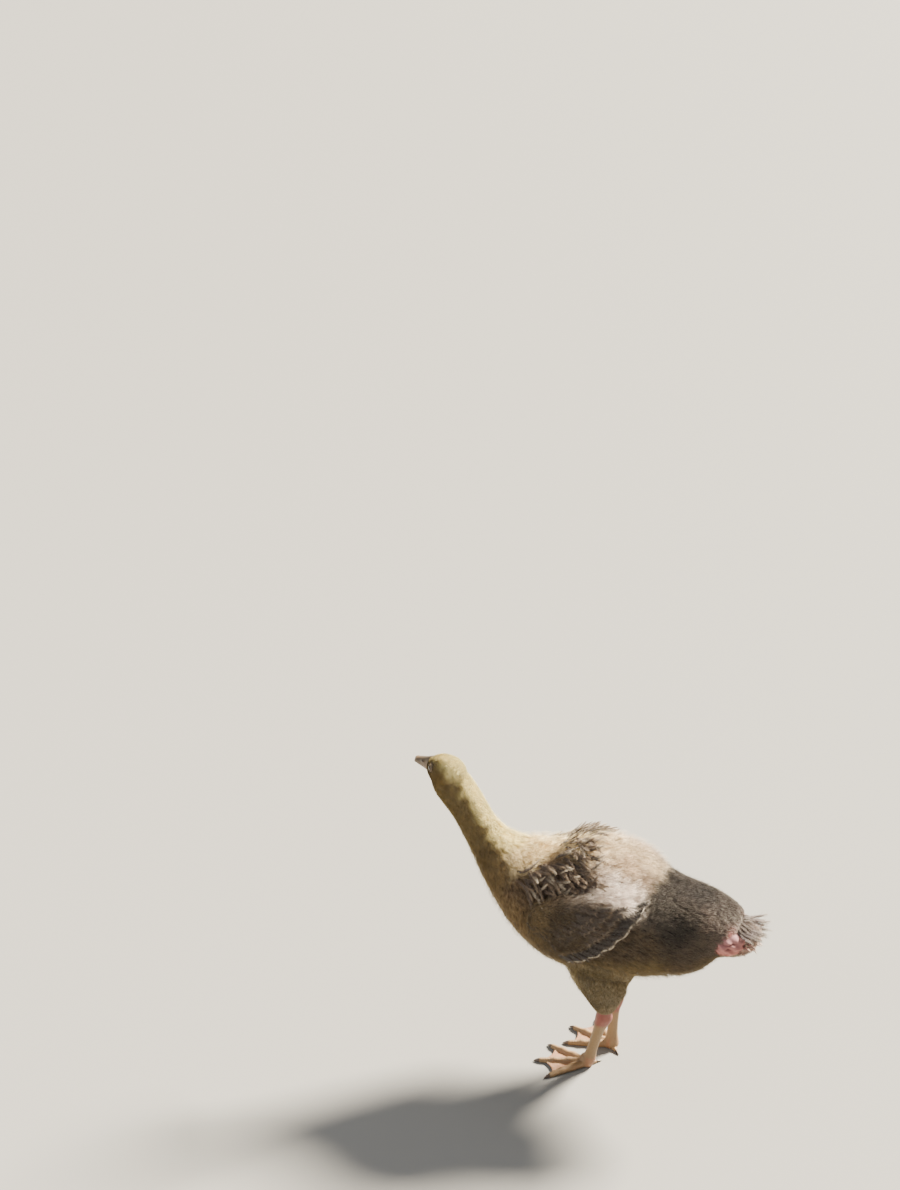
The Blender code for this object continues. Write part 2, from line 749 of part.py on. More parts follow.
def fan(chance, count, root, half_width, spread, rise, length, width, arch):
    """A row of feathers side by side, every second one a little higher so that they overlap."""
    feathers = []
    for i in range(count):
        share = 2 * i / (count - 1) - 1
        raised = TAIL_SHINGLE * (i % 2) - 1 * MM * share * share
        place = root + Vector((0, share * half_width, raised))
        long = length * (1 - 0.12 * share * share) * chance.uniform(0.93, 1.06)
        feathers.append(fan_feather(place, share * spread / 2, rise, long, width, arch))
    return feathers


def make_tail(tail):
    """The tail root with its fan of growing feathers and the coverts above them."""
    chance = random.Random(FEATHER_SEED)
    feathers = fan(
        chance, TAIL_COUNT, TAIL_ROOT, TAIL_HALF_WIDTH, TAIL_SPREAD,
        -TAIL_DROOP, TAIL_LENGTH, TAIL_WIDTH, TAIL_ARCH,
    )
    coverts = fan(
        chance, TAIL_COVERT_COUNT, TAIL_COVERTS, TAIL_COVERT_HALF_WIDTH, TAIL_SPREAD,
        -2 * TAIL_DROOP, TAIL_COVERT_LENGTH, TAIL_WIDTH, TAIL_ARCH,
    )
    return join_pieces(tail, feathers + coverts)


def make_vent(vent):
    """The soft feathers under the tail, as short rounded locks on the vent."""
    chance = random.Random(FEATHER_SEED)
    locks = []
    for x, z, half_width, count, length in VENT_LOCKS:
        root = Vector((x, 0, z)) * MM
        locks += fan(
            chance, count, root, half_width * MM, VENT_SPREAD,
            VENT_RISE, length * MM, VENT_LOCK_WIDTH, -VENT_LOCK_BEND,
        )
    return join_pieces(vent, locks)


def make_leg(word, side, torso):
    """A feathered drumstick, a bare shank and a webbed foot."""
    x_foot, y_foot, turn = FOOT[word]
    rings = []
    for x, y, z, half_length, half_width in smooth_table(DRUMSTICK, 2):
        centre = Vector((x, side * y, z)) * MM
        rings.append(
            ring(centre, FORE_AND_AFT, ACROSS, [half_length * MM] * 2, half_width * MM, DRUMSTICK_SIDES)
        )
    drumstick = loft("drumstick_" + word, rings, "down_body")
    subtract(drumstick, grown_copy(torso, SKIN_GAP))
    foot_place = Vector((x_foot, side * y_foot, 0)) * MM
    make_shank(word, side, foot_place)
    make_foot(word, side, foot_place, turn)
    return drumstick


def make_shank(word, side, foot_place):
    hock = Vector((HOCK.x, side * HOCK.y, HOCK.z))
    rings = []
    for z, half_length, half_width, back in smooth_table(SHANK, 2):
        share = z * MM / hock.z
        centre = foot_place.lerp(hock, share)
        centre.x += back * MM
        centre.z = min(z * MM, hock.z - GAP)
        rings.append(
            ring(centre, FORE_AND_AFT, ACROSS, [half_length * MM] * 2, half_width * MM, SHANK_SIDES)
        )
    return loft("shank_" + word, rings, "leg_skin")


def toe_rings(place, heading, length, root, tip, knuckles=TOE_KNUCKLES):
    """Rings of a toe that lies on the floor, thicker at its knuckles, from the ankle to the claw."""
    across = Vector((-heading.y, heading.x, 0))
    rings = []
    steps = 8
    for k in range(steps + 1):
        share = k / steps
        swell = sum(math.exp(-(((share - knuckle) / 0.07) ** 2)) for knuckle in knuckles)
        radius = root + (tip - root) * share + 0.7 * MM * swell
        centre = place + heading * length * share
        centre.z = radius * 0.82
        rings.append(ring(centre, UPRIGHT, across, [radius] * 2, radius, TOE_SIDES))
    return rings


def make_claw(name, place, heading, radius, drop):
    """A short blunt claw that leaves a toe's end and drops to the floor."""
    across = Vector((-heading.y, heading.x, 0))
    rings = []
    for share, size in ((0, 0.86), (0.35, 0.72), (0.7, 0.45), (1, 0.14)):
        centre = place + heading * (CLAW_LENGTH * share)
        centre.z = place.z - drop * share * share
        rings.append(ring(centre, UPRIGHT, across, [radius * size] * 2, radius * size * 0.85, CLAW_SIDES))
    claw = loft(name, rings, "claw")
    flat = sliced(claw, name, [(Vector((0, 0, 0)), Vector((0, 0, -1)))], "claw")
    bpy.data.objects.remove(claw, do_unlink=True)
    flat.name = name
    return flat


def web(place, headings, lengths):
    """The skin between two toes, its free edge drawn in."""
    shape = bmesh.new()
    near, far = (heading * length * WEB_REACH for heading, length in zip(headings, lengths))
    rim = [Vector((0, 0, 0)), near]
    for k in (1, 2, 3):
        share = k / 4
        reach = near.length + (far.length - near.length) * share
        hollow = 1 - WEB_HOLLOW * 4 * share * (1 - share)
        rim.append(near.slerp(far, share).normalized() * reach * hollow)
    rim.append(far)
    base = Vector((0, 0, WEB_HEIGHT - WEB_THICKNESS / 2))
    face = shape.faces.new([shape.verts.new(place + base + p) for p in rim])
    pushed = bmesh.ops.extrude_face_region(shape, geom=[face])
    top = [g for g in pushed["geom"] if isinstance(g, bmesh.types.BMVert)]
    bmesh.ops.translate(shape, vec=(0, 0, WEB_THICKNESS), verts=top)
    return to_object("web", shape, "leg_skin")


def make_foot(word, side, place, turn):
    """Three webbed toes and the small hind toe, standing on flats at floor level."""
    headings = {}
    pieces = []
    for toe, (length, outwards) in TOES.items():
        angle = turn + outwards * TOE_SPREAD
        headings[toe] = Vector((-math.cos(angle), side * math.sin(angle), 0))
        rings = toe_rings(place, headings[toe], length * MM, TOE_ROOT, TOE_TIP)
        pieces.append(loft("toe", rings, "leg_skin"))
        end = place + headings[toe] * (length * MM + GAP)
        end.z = TOE_TIP * 0.82
        make_claw(f"claw_{word}_{toe}", end, headings[toe], TOE_TIP, CLAW_DROP)
    for outer in ("outer", "inner"):
        pair = (headings["middle"], headings[outer])
        pieces.append(web(place, pair, [TOES["middle"][0] * MM, TOES[outer][0] * MM]))
    back_angle = turn + math.radians(180 + 28)
    back = Vector((-math.cos(back_angle), side * math.sin(back_angle), 0))
    hallux = toe_rings(place, back, HALLUX_LENGTH, TOE_ROOT * 0.8, TOE_TIP * 0.72, ())
    pieces.append(loft("hallux", hallux, "leg_skin"))
    end = place + back * (HALLUX_LENGTH + GAP)
    end.z = TOE_TIP * 0.72 * 0.82
    make_claw(f"claw_{word}_hind", end, back, TOE_TIP * 0.72, CLAW_DROP * 0.6)
    size = Vector((9.2, 8.2, 10)) * MM
    foot = ellipsoid("foot_" + word, place + Vector((0, 0, 7 * MM)), size, "leg_skin", 12, 8)
    join_pieces(foot, pieces)
    planes = [
        (Vector((0, 0, 0)), Vector((0, 0, -1))),
        (Vector((0, 0, FOOT_TOP)), Vector((0, 0, 1))),
    ]
    flat = sliced(foot, "foot_" + word, planes, "leg_skin")
    bpy.data.objects.remove(foot, do_unlink=True)
    flat.name = "foot_" + word
    return flat


def shade_round():
    """Smooth shading, with edges kept sharp where the facets really turn a corner."""
    for thing in bpy.data.objects:
        thing.data.shade_smooth()
        thing.data.set_sharp_from_angle(angle=SHARP_ANGLE)


def set_origin():
    """Moves everything so that the origin is at the middle of the underside of the whole."""
    nodes = [thing for thing in bpy.data.objects if thing.type == "MESH"]
    corners = [v.co for thing in nodes for v in thing.data.vertices]
    middle = [(min(c[k] for c in corners) + max(c[k] for c in corners)) / 2 for k in (0, 1)]
    floor = min(c[2] for c in corners)
    shift = Vector((-middle[0], -middle[1], -floor))
    for thing in nodes:
        thing.data.transform(Matrix.Translation(shift))


def main():
    clear_scene()
    torso, neck, tail, vent = make_trunk()
    make_head(neck)
    for word, side in SIDES.items():
        make_leg(word, side, torso)
    for word, side in SIDES.items():
        make_wing(word, side, torso)
    add_scapulars(torso)
    make_tail(tail)
    make_vent(vent)
    set_origin()
    shade_round()


main()
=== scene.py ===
import math

import bmesh
import bpy
import numpy as np
from mathutils import Matrix, Vector
from mathutils.bvhtree import BVHTree
from mathutils.kdtree import KDTree


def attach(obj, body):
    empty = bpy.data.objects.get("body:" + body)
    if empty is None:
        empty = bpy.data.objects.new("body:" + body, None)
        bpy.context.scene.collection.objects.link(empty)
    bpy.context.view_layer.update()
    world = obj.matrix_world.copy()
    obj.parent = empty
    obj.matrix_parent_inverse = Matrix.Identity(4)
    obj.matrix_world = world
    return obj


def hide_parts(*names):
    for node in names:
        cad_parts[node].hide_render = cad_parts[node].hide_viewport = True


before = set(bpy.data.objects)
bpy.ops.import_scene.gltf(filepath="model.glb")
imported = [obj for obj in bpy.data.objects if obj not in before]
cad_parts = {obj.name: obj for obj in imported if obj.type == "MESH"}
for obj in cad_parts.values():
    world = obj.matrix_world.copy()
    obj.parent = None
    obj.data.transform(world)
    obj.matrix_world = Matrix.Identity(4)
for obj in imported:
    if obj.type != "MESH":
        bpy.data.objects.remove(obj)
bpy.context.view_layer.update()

# The bird's skin
# Trunk, neck, head, thighs and the folded arms of the wings are one body under the down, with no seam.
# Its forms are rounds of known height and width, fused, smoothed and drawn in by the depth of the coat.

MM = 0.001
ZERO = Vector((23.9, -0.2, 0)) * MM  # where the tables' own zero, between the feet, lies in the model
LEFT = -1
RIGHT = 1
SIDES = {"left": LEFT, "right": RIGHT}
UP = Vector((0, 0, 1))
ACROSS = Vector((0, 1, 0))

TRUNK = (
    # x, z, height above and below that line and half width, in millimetres, from the tail to the head
    (191, 213, 3, 3, 3.5),
    (188, 212, 8, 8, 9),
    (179, 208, 17, 17, 18),
    (171, 205, 22, 22, 25),
    (162, 205, 27, 27, 31),
    (150, 209, 34, 35, 39),
    (136, 210, 43, 42, 46),
    (118, 208, 51, 52, 54),
    (96, 205, 57, 59, 61),
    (76, 205, 62, 64, 67),
    (60, 206, 68, 69, 71),
    (43, 208, 79, 75, 75),
    (16, 211, 86, 80, 79),
    (-16, 213, 86, 79, 79),
    (-44, 215, 80, 73, 76),
    (-71, 222, 70, 58, 69),
    (-96, 235, 54, 44, 57),
    (-119, 251, 39, 34, 41),
    (-136, 268, 28.5, 27, 29),
    (-149, 285, 23.5, 23.5, 24),
    (-158, 299, 22.5, 22.5, 22.5),
    (-167, 313, 23, 22.5, 22.5),
    (-178, 327, 24.5, 22.5, 23),
    (-188, 339, 24, 22.5, 22.5),
    (-195, 349, 19, 19, 19),
    (-200, 357, 11, 11, 11),
)
BELLY_FULLNESS = 0.07
HEAD_PLACE = Vector((-193.5, 0, 352.5)) * MM
HEAD_YAW = math.radians(37)
HEAD_PITCH = math.radians(4)
HEAD = (
    # the same measures in the head's own frame, from the bill back
    (-32, -3, 7, 8, 6.5),
    (-27, -3, 11.5, 12.5, 11),
    (-20, -2, 15.4, 17, 15.4),
    (-10, -1, 19.2, 20, 18.5),
    (2, 0, 20.5, 20.5, 19.5),
    (12, 0, 20.5, 20, 19.3),
    (21, -1.5, 17, 17, 16.5),
    (27, -4, 9, 9, 9),
)
THIGH = (
    # x, distance from the middle plane, z, half length and half width
    (-2, 36, 178, 35, 26),
    (3, 37, 156, 36, 27),
    (9, 35, 138, 35.5, 25.5),
    (13, 32, 122, 32, 22.5),
    (15, 29, 110, 26.5, 19.5),
    (15.5, 26.5, 98, 19.5, 16),
    (16.2, 25, 88, 14, 12.8),
    (16.4, 24, 83, 10.6, 10.4),
)
ARM = (
    # x, z, half height and half thickness of the folded arm, laid on the flank
    (-66, 216, 9, 4),
    (-60, 215, 24, 9),
    (-45, 217, 34, 11.5),
    (-21, 223, 39, 11.5),
    (6, 232, 35, 10),
    (31, 242, 25, 8),
    (52, 252, 11, 4),
)
ARM_SHIFT = {LEFT: Vector((0, 0)) * MM, RIGHT: Vector((-6, -11)) * MM}
SKIN_GRAIN = 2.4 * MM
SKIN_SMOOTHING = 12


def smooth_rows(rows, steps):
    """A size table with more rows between its own, on a Catmull-Rom curve."""
    rows = np.array(rows, float)
    ends = np.vstack([2 * rows[0] - rows[1], rows, 2 * rows[-1] - rows[-2]])
    curve = []
    for a, b, c, d in zip(ends, ends[1:], ends[2:], ends[3:]):
        for t in np.arange(steps) / steps:
            bend = (2 * a - 5 * b + 4 * c - d) * t**2 + (3 * b - a - 3 * c + d) * t**3
            curve.append(0.5 * (2 * b + (c - a) * t + bend))
    return np.array(curve + [rows[-1]])


def oval(shape, centre, up, side, above, below, half_width, sides, fullness=0.0, roundness=1.0):
    """One ring of a form, a circle stretched to its own height above and below; returns its edges."""
    corners = bmesh.ops.create_circle(shape, segments=sides, radius=1)["verts"]
    for corner in corners:
        across, rise = math.copysign(abs(corner.co.x) ** roundness, corner.co.x), corner.co.y
        height = above if rise > 0 else below
        corner.co = centre + side * across * half_width * (1 - fullness * rise) + up * rise * height
    return list({edge for corner in corners for edge in corner.link_edges})


def skinned(rings):
    """A closed form through rings, each the arguments of oval()."""
    shape = bmesh.new()
    loops = [oval(shape, *ring) for ring in rings]
    for near, far in zip(loops, loops[1:]):
        bmesh.ops.bridge_loops(shape, edges=near + far)
    bmesh.ops.holes_fill(shape, edges=[e for e in shape.edges if e.is_boundary])
    bmesh.ops.recalc_face_normals(shape, faces=shape.faces)
    return shape


def upright_rings(table, steps, sides, fullness=0.0):
    """Rings square to a line in the middle plane."""
    rows = smooth_rows(table, steps)
    rings = []
    for i, (x, z, above, below, half_width) in enumerate(rows):
        ahead, behind = rows[min(i + 1, len(rows) - 1)], rows[max(i - 1, 0)]
        along = Vector((ahead[0] - behind[0], 0, ahead[1] - behind[1])).normalized()
        up = ACROSS.cross(along)
        if up.z < 0:
            up = -up
        centre = Vector((x, 0, z)) * MM
        rings.append((centre, up, ACROSS, above * MM, below * MM, half_width * MM, sides, fullness))
    return rings


def moved(shape, matrix):
    bmesh.ops.transform(shape, matrix=matrix, verts=shape.verts)
    return shape


def ball_form(place, sizes, across, down):
    """A ball stretched to its three sizes, and how many faces it has across and down."""
    shape = bmesh.new()
    bmesh.ops.create_uvsphere(shape, u_segments=across, v_segments=down, radius=1)
    return moved(shape, Matrix.Translation(place) @ Matrix.Diagonal((*sizes, 1)))


head_turn = Matrix.Rotation(-HEAD_YAW, 4, "Z") @ Matrix.Rotation(-HEAD_PITCH, 4, "Y")
head_place = Matrix.Translation(ZERO + HEAD_PLACE) @ head_turn
trunk_form = moved(skinned(upright_rings(TRUNK, 2, 40, BELLY_FULLNESS)), Matrix.Translation(ZERO))
head_form = moved(skinned(upright_rings(HEAD, 3, 28)), head_place)
trunk_surface = BVHTree.FromBMesh(trunk_form)


def flank(x, z, side):
    """The trunk's surface at x and z on one side, and its outward normal; x and z as in the tables."""
    start = Vector((x + ZERO.x, side * 500 * MM, z))
    hit, normal, _, _ = trunk_surface.ray_cast(start, Vector((0, -side, 0)))
    return hit, normal


def thigh_form(side):
    rings = []
    for x, y, z, half_length, half_width in smooth_rows(THIGH, 2) * MM:
        centre = ZERO + Vector((x, side * y, z))
        rings.append((centre, Vector((1, 0, 0)), ACROSS, half_length, half_length, half_width, 24))
    return skinned(rings)


def arm_form(side):
    rings = []
    for x, z, half_height, half_thickness in smooth_rows(ARM, 3) * MM:
        x, z = x + ARM_SHIFT[side].x, z + ARM_SHIFT[side].y
        hit, normal = flank(x, z, side)
        up = (UP - normal * normal.z).normalized()
        centre = hit + normal * half_thickness * 0.25
        rings.append((centre, up, normal, half_height, half_height, half_thickness, 24))
    return skinned(rings)


forms = {"trunk": trunk_form, "head": head_form}
for word, side in SIDES.items():
    forms["thigh_" + word] = thigh_form(side)
    forms["arm_" + word] = arm_form(side)


def object_from(name, shape):
    """A finished bmesh as an object of the scene."""
    mesh = bpy.data.meshes.new(name)
    shape.to_mesh(mesh)
    shape.free()
    made = bpy.data.objects.new(name, mesh)
    bpy.context.scene.collection.objects.link(made)
    return made


def fused(name, shapes, grain, smoothing):
    """Overlapping closed forms made into one even skin, its creases smoothed."""
    whole = bmesh.new()
    for shape in shapes:
        part = bpy.data.meshes.new("part")
        shape.to_mesh(part)
        whole.from_mesh(part)
        bpy.data.meshes.remove(part)
    thing = object_from(name, whole)
    even = thing.modifiers.new("even", "REMESH")
    even.mode = "VOXEL"
    even.voxel_size = grain
    rounding = thing.modifiers.new("rounding", "SMOOTH")
    rounding.factor = 0.5
    rounding.iterations = smoothing
    graph = bpy.context.evaluated_depsgraph_get()
    mesh = bpy.data.meshes.new_from_object(thing.evaluated_get(graph))
    thing.modifiers.clear()
    thing.data = mesh
    thing.data.shade_smooth()
    return thing


skin = fused("skin", forms.values(), SKIN_GRAIN, SKIN_SMOOTHING)
surfaces = {name: BVHTree.FromBMesh(shape) for name, shape in forms.items()}

# The coat's plan
# Down is short on the nape and crown, deep on the back, and thin and pink-based under the tail. Each named
# place has its depth and colours, and between places they blend. The colours carry painted sunlight and
# shade: the pale cream of the nape, crown and back is partly painted sunlight from behind and above, the
# olive and brown-grey of the sides partly painted shade, and the near black of the rump mostly painted
# shadow.

# a place's x, distance from the middle plane and z; coat depth, length and width of a tuft; the tufts for
# each square millimetre; the colour of the coat's roots and tips, painted light and shade in them, red,
# green and blue out of 255
BODY_COAT = {
    # The nape's pale cream is partly its own colour and partly painted sunlight; the throat, neck sides and
    # breast are partly painted shade.
    "nape top": (-166, 0, 351, 2.4, 5.6, 0.4, 1.8, (222, 201, 122), (255, 243, 178)),
    "nape high": (-158, 0, 338, 2.6, 6.0, 0.42, 1.6, (222, 201, 122), (255, 243, 178)),
    "nape": (-149, 0, 325, 2.8, 6.6, 0.44, 1.5, (222, 201, 122), (255, 243, 180)),
    "nape middle": (-139, 0, 311, 3.0, 7.0, 0.45, 1.4, (222, 201, 122), (255, 243, 180)),
    "nape low": (-126, 0, 298, 3.6, 8.0, 0.48, 1.2, (222, 200, 124), (255, 243, 180)),
    "nape foot": (-108, 0, 288, 4.2, 9.0, 0.5, 1.1, (222, 199, 130), (255, 243, 184)),
    "throat": (-199, 0, 322, 2.4, 5.5, 0.42, 1.7, (88, 71, 38), (134, 112, 62)),
    "neck front": (-176, 0, 285, 3.0, 7.0, 0.45, 1.4, (90, 73, 42), (140, 118, 72)),
    "neck front low": (-160, 0, 255, 4.0, 8.5, 0.5, 1.0, (116, 95, 62), (176, 150, 108)),
    "neck side top": (-182, 24, 338, 2.5, 5.8, 0.41, 1.7, (86, 69, 37), (130, 108, 62)),
    "neck side high": (-171, 24, 320, 2.6, 6.0, 0.42, 1.6, (86, 69, 37), (130, 108, 62)),
    "neck side": (-161, 24, 304, 3.0, 6.6, 0.44, 1.5, (86, 69, 38), (130, 108, 62)),
    "neck side middle": (-150, 26, 288, 3.2, 7.2, 0.46, 1.4, (86, 69, 39), (130, 108, 64)),
    "neck side low": (-137, 32, 271, 3.8, 8.2, 0.5, 1.2, (88, 71, 42), (134, 111, 70)),
    "neck side foot": (-120, 44, 252, 4.6, 9.2, 0.5, 1.0, (104, 84, 55), (156, 131, 90)),
    "breast": (-132, 0, 215, 5.0, 10.0, 0.55, 0.7, (112, 91, 62), (172, 145, 106)),
    "breast side": (-96, 56, 212, 5.0, 10.0, 0.55, 0.7, (114, 93, 64), (174, 147, 107)),
    # Shoulder, mantle and back: pale cream on top, partly painted sunlight from behind; darker down the sides
    # as painted shade, darkest at the shoulder as the shade under the shoulder feathers.
    "shoulder": (-84, 58, 250, 5.0, 10.0, 0.55, 0.7, (88, 69, 50), (142, 118, 90)),
    "mantle front": (-84, 0, 287, 6.0, 13.0, 0.5, 0.85, (208, 182, 132), (255, 238, 194)),
    "mantle front side": (-88, 32, 270, 6.0, 13.0, 0.5, 0.95, (192, 166, 120), (250, 230, 186)),
    "mantle": (-44, 0, 293, 6.5, 15.0, 0.5, 0.85, (190, 164, 124), (252, 234, 194)),
    "mantle side": (-52, 48, 266, 5.0, 11.0, 0.6, 0.65, (96, 77, 60), (152, 130, 106)),
    "back": (14, 0, 298, 7.0, 16.0, 0.5, 0.85, (186, 162, 128), (248, 230, 200)),
    "back side": (38, 30, 284, 7.0, 16.0, 0.5, 0.95, (150, 124, 100), (220, 196, 168)),
    "bright patch": (29, 57, 263, 8.0, 17.0, 0.5, 1.0, (214, 190, 176), (255, 244, 234)),
    "bright patch rear": (45, 54, 262, 8.0, 16.0, 0.5, 1.0, (206, 184, 170), (255, 240, 228)),
    "patch foot": (24, 76, 238, 5.0, 10.0, 0.55, 0.65, (72, 58, 46), (112, 94, 76)),
    "back rear": (54, 8, 283, 7.0, 15.0, 0.5, 0.95, (182, 158, 126), (246, 226, 196)),
    "back rear side": (52, 33, 272, 6.0, 13.0, 0.5, 0.9, (112, 92, 76), (172, 150, 128)),
    # Rump and tail root are painted near black: the rump's own grey-brown darkened by a painted shadow that
    # lay over it.
    "rump front": (91, 8, 264, 3.8, 9.0, 0.55, 0.8, (36, 30, 29), (55, 47, 46)),
    "rump front low": (75, 46, 246, 3.8, 9.0, 0.55, 0.8, (36, 30, 28), (54, 46, 42)),
    "rump front side": (77, 34, 256, 3.8, 9.0, 0.55, 0.8, (36, 30, 28), (53, 45, 43)),
    "rump": (120, 0, 258, 3.6, 8.5, 0.55, 0.68, (34, 28, 28), (52, 45, 45)),
    "rump side": (110, 50, 225, 3.8, 9.0, 0.55, 0.66, (36, 30, 27), (55, 47, 43)),
    "tail root": (152, 14, 240, 3.5, 7.5, 0.5, 0.95, (50, 42, 41), (80, 70, 67)),
    "tail side": (177, 15, 222, 2.4, 6.0, 0.45, 1.1, (62, 51, 50), (100, 87, 83)),
    "tail top": (172, 0, 230, 2.4, 6.0, 0.45, 1.1, (70, 58, 56), (112, 97, 92)),
    # Flanks, breast low and belly: own brown-greys, partly painted as the shade that the sides stood in.
    "flank front": (-30, 74, 180, 5.0, 10.0, 0.55, 0.6, (82, 68, 48), (128, 109, 80)),
    "flank": (55, 70, 205, 5.0, 10.0, 0.55, 0.56, (66, 54, 42), (106, 89, 69)),
    "flank low": (60, 58, 165, 5.0, 10.0, 0.55, 0.48, (96, 81, 55), (154, 133, 94)),
    "breast low": (-92, 0, 175, 5.0, 10.0, 0.55, 0.5, (98, 82, 54), (156, 134, 92)),
    "belly": (-20, 0, 134, 5.0, 10.0, 0.6, 0.42, (116, 99, 70), (182, 160, 118)),
    "belly rear": (90, 0, 147, 5.0, 10.0, 0.6, 0.42, (98, 84, 58), (160, 140, 102)),
    # The vent's front and upper edges are darkened with the rump's painted shadow.
    "vent edge low": (134, 30, 178, 4.0, 8.0, 0.5, 0.8, (84, 70, 54), (134, 116, 90)),
    "vent edge front": (128, 48, 208, 4.0, 8.0, 0.5, 0.8, (64, 54, 46), (102, 88, 76)),
    "vent edge high": (151, 37, 229, 3.6, 8.0, 0.5, 1.0, (56, 46, 44), (92, 79, 74)),
    "vent front": (144, 39, 206, 3.2, 7.5, 0.45, 0.9, (76, 64, 57), (122, 107, 96)),
    "vent": (161, 30, 209, 0.8, 3.0, 0.36, 0.1, (166, 106, 102), (214, 176, 168)),
    "vent rear": (175, 20, 202, 2.2, 7.0, 0.4, 1.0, (176, 134, 124), (222, 202, 188)),
    "vent low": (158, 12, 184, 3.0, 7.0, 0.45, 0.9, (124, 102, 84), (186, 166, 140)),
    # The tail tip is dark with the rump's painted shadow.
    "tail tip": (191, 8, 220, 2.0, 6.0, 0.4, 1.3, (64, 53, 51), (106, 92, 87)),
    "tail end": (187, 6, 208, 2.0, 6.0, 0.4, 1.4, (176, 142, 130), (224, 206, 190)),
    # Thighs, wrist and arms: own olive and brown-greys, tuned darker and lighter to the shade they stood in,
    # so partly painted shade; the arm is darkest as the shade under the shoulder feathers.
    "thigh": (5, 64, 140, 4.0, 8.5, 0.5, 0.62, (84, 71, 48), (132, 115, 80)),
    "thigh front": (-26, 44, 146, 4.0, 8.5, 0.5, 0.62, (122, 105, 74), (186, 164, 120)),
    "thigh low": (15, 46, 108, 3.0, 7.0, 0.45, 0.95, (78, 66, 44), (120, 104, 73)),
    "hock": (16, 34, 86, 1.4, 3.4, 0.4, 1.4, (96, 80, 56), (144, 124, 88)),
    "wrist": (-60, 82, 215, 3.0, 7.5, 0.45, 1.0, (96, 79, 54), (148, 126, 92)),
    "arm": (-20, 92, 215, 2.6, 7.0, 0.45, 0.85, (62, 50, 38), (96, 80, 59)),
    "arm rear": (30, 86, 240, 2.6, 7.0, 0.45, 0.85, (51, 42, 35), (82, 69, 58)),
}
HEAD_COAT = {
    # the same in the head's own frame, the distance from the middle plane second
    # Brow, crown and back of the head are pale partly as painted sunlight; lores, cheek, ear and chin are
    # partly painted shade.
    "brow": (-22, 0, 14, 1.1, 2.6, 0.3, 3.4, (150, 132, 78), (222, 204, 142)),
    "crown": (-6, 0, 20, 1.8, 3.8, 0.33, 2.8, (190, 171, 102), (252, 238, 172)),
    "back of the head": (16, 0, 17, 2.2, 4.8, 0.38, 2.6, (200, 181, 110), (255, 243, 180)),
    "lores": (-22, 12, 4, 0.8, 2.0, 0.27, 3.8, (92, 73, 42), (136, 113, 68)),
    "cheek": (-10, 18, -8, 1.4, 3.2, 0.32, 3.2, (90, 72, 42), (136, 112, 68)),
    "ear": (8, 20, 0, 1.8, 4.0, 0.36, 2.8, (92, 74, 44), (142, 118, 72)),
    "chin": (-20, 0, -16, 1.2, 2.8, 0.32, 3.2, (94, 77, 44), (144, 121, 74)),
    "round the eye": (-7, 18, 5, 0.9, 1.9, 0.27, 4.6, (96, 78, 46), (144, 122, 76)),
}
COAT_BLEND = 7 * MM  # how near a place has to be before it rules the coat alone
# The edges it strays include those between painted sunlight and painted shade.
WANDER = 2.6 * MM  # how far the edge of a marking strays from an even line
WANDER_TURNS = (230, 410)  # how fast it winds, and how fast its winding changes
WANDER_LEAN = 1.4
BATCH = 20000  # points worked on at once, so that little memory is used


def paint(colour):
    """A colour out of 255 as the renderer's own light values."""
    share = np.array(colour, float) / 255
    return np.where(share <= 0.04045, share / 12.92, ((share + 0.055) / 1.055) ** 2.4)


def opaque(colour):
    return (*paint(colour), 1)


def blended(one, other, share):
    return one * (1 - share) + other * share


coat_places, coat_facts = [], []
for table, placing in ((BODY_COAT, Matrix.Translation(ZERO)), (HEAD_COAT, head_place)):
    for x, y, z, depth, length, width, number, roots, tips in table.values():
        for side in SIDES.values():
            coat_places.append(placing @ (Vector((x, side * y, z)) * MM))
            coat_facts.append((depth * MM, length * MM, width * MM, number, *paint(roots), *paint(tips)))
coat_places = np.array(coat_places)
coat_facts = np.array(coat_facts)


def coat_at(points):
    """Depth, length, width, number, root colour and tip colour of the coat, blended between its places."""
    facts = np.empty((len(points), coat_facts.shape[1]))
    for start in range(0, len(points), BATCH):
        some = points[start : start + BATCH]
        lean = WANDER_LEAN * np.sin(some[:, (2, 0, 1)] * WANDER_TURNS[1])
        some = some + WANDER * np.sin(some[:, (1, 2, 0)] * WANDER_TURNS[0] + lean)
        apart = np.linalg.norm(some[:, None] - coat_places[None], axis=2)
        weights = 1 / (apart**2 + COAT_BLEND**2) ** 3
        facts[start : start + BATCH] = weights @ coat_facts / weights.sum(1, keepdims=True)
    return facts


def corners_of(mesh, what="co"):
    """Where the corners of a mesh lie, or with "normal" the ways that they face."""
    values = np.empty(len(mesh.vertices) * 3)
    mesh.vertices.foreach_get(what, values)
    return values.reshape(-1, 3)


def move_corners(mesh, corners):
    mesh.vertices.foreach_set("co", corners.ravel())
    mesh.update()


outer = corners_of(skin.data)
outer_coat = coat_at(outer)
move_corners(skin.data, outer - corners_of(skin.data, "normal") * outer_coat[:, :1])


def give_colours(mesh, name, values):
    """Keeps a colour for each corner of a mesh under a name that its material reads."""
    layer = mesh.color_attributes.new(name, "FLOAT_COLOR", "POINT")
    whole = np.ones((len(mesh.vertices), 4), np.float32)
    whole[:, :3] = values
    layer.data.foreach_set("color", whole.ravel())


# The skin under the down takes the coat's root colours, the painted sunlight and shade in them too.
give_colours(skin.data, "coat", outer_coat[:, 4:7])


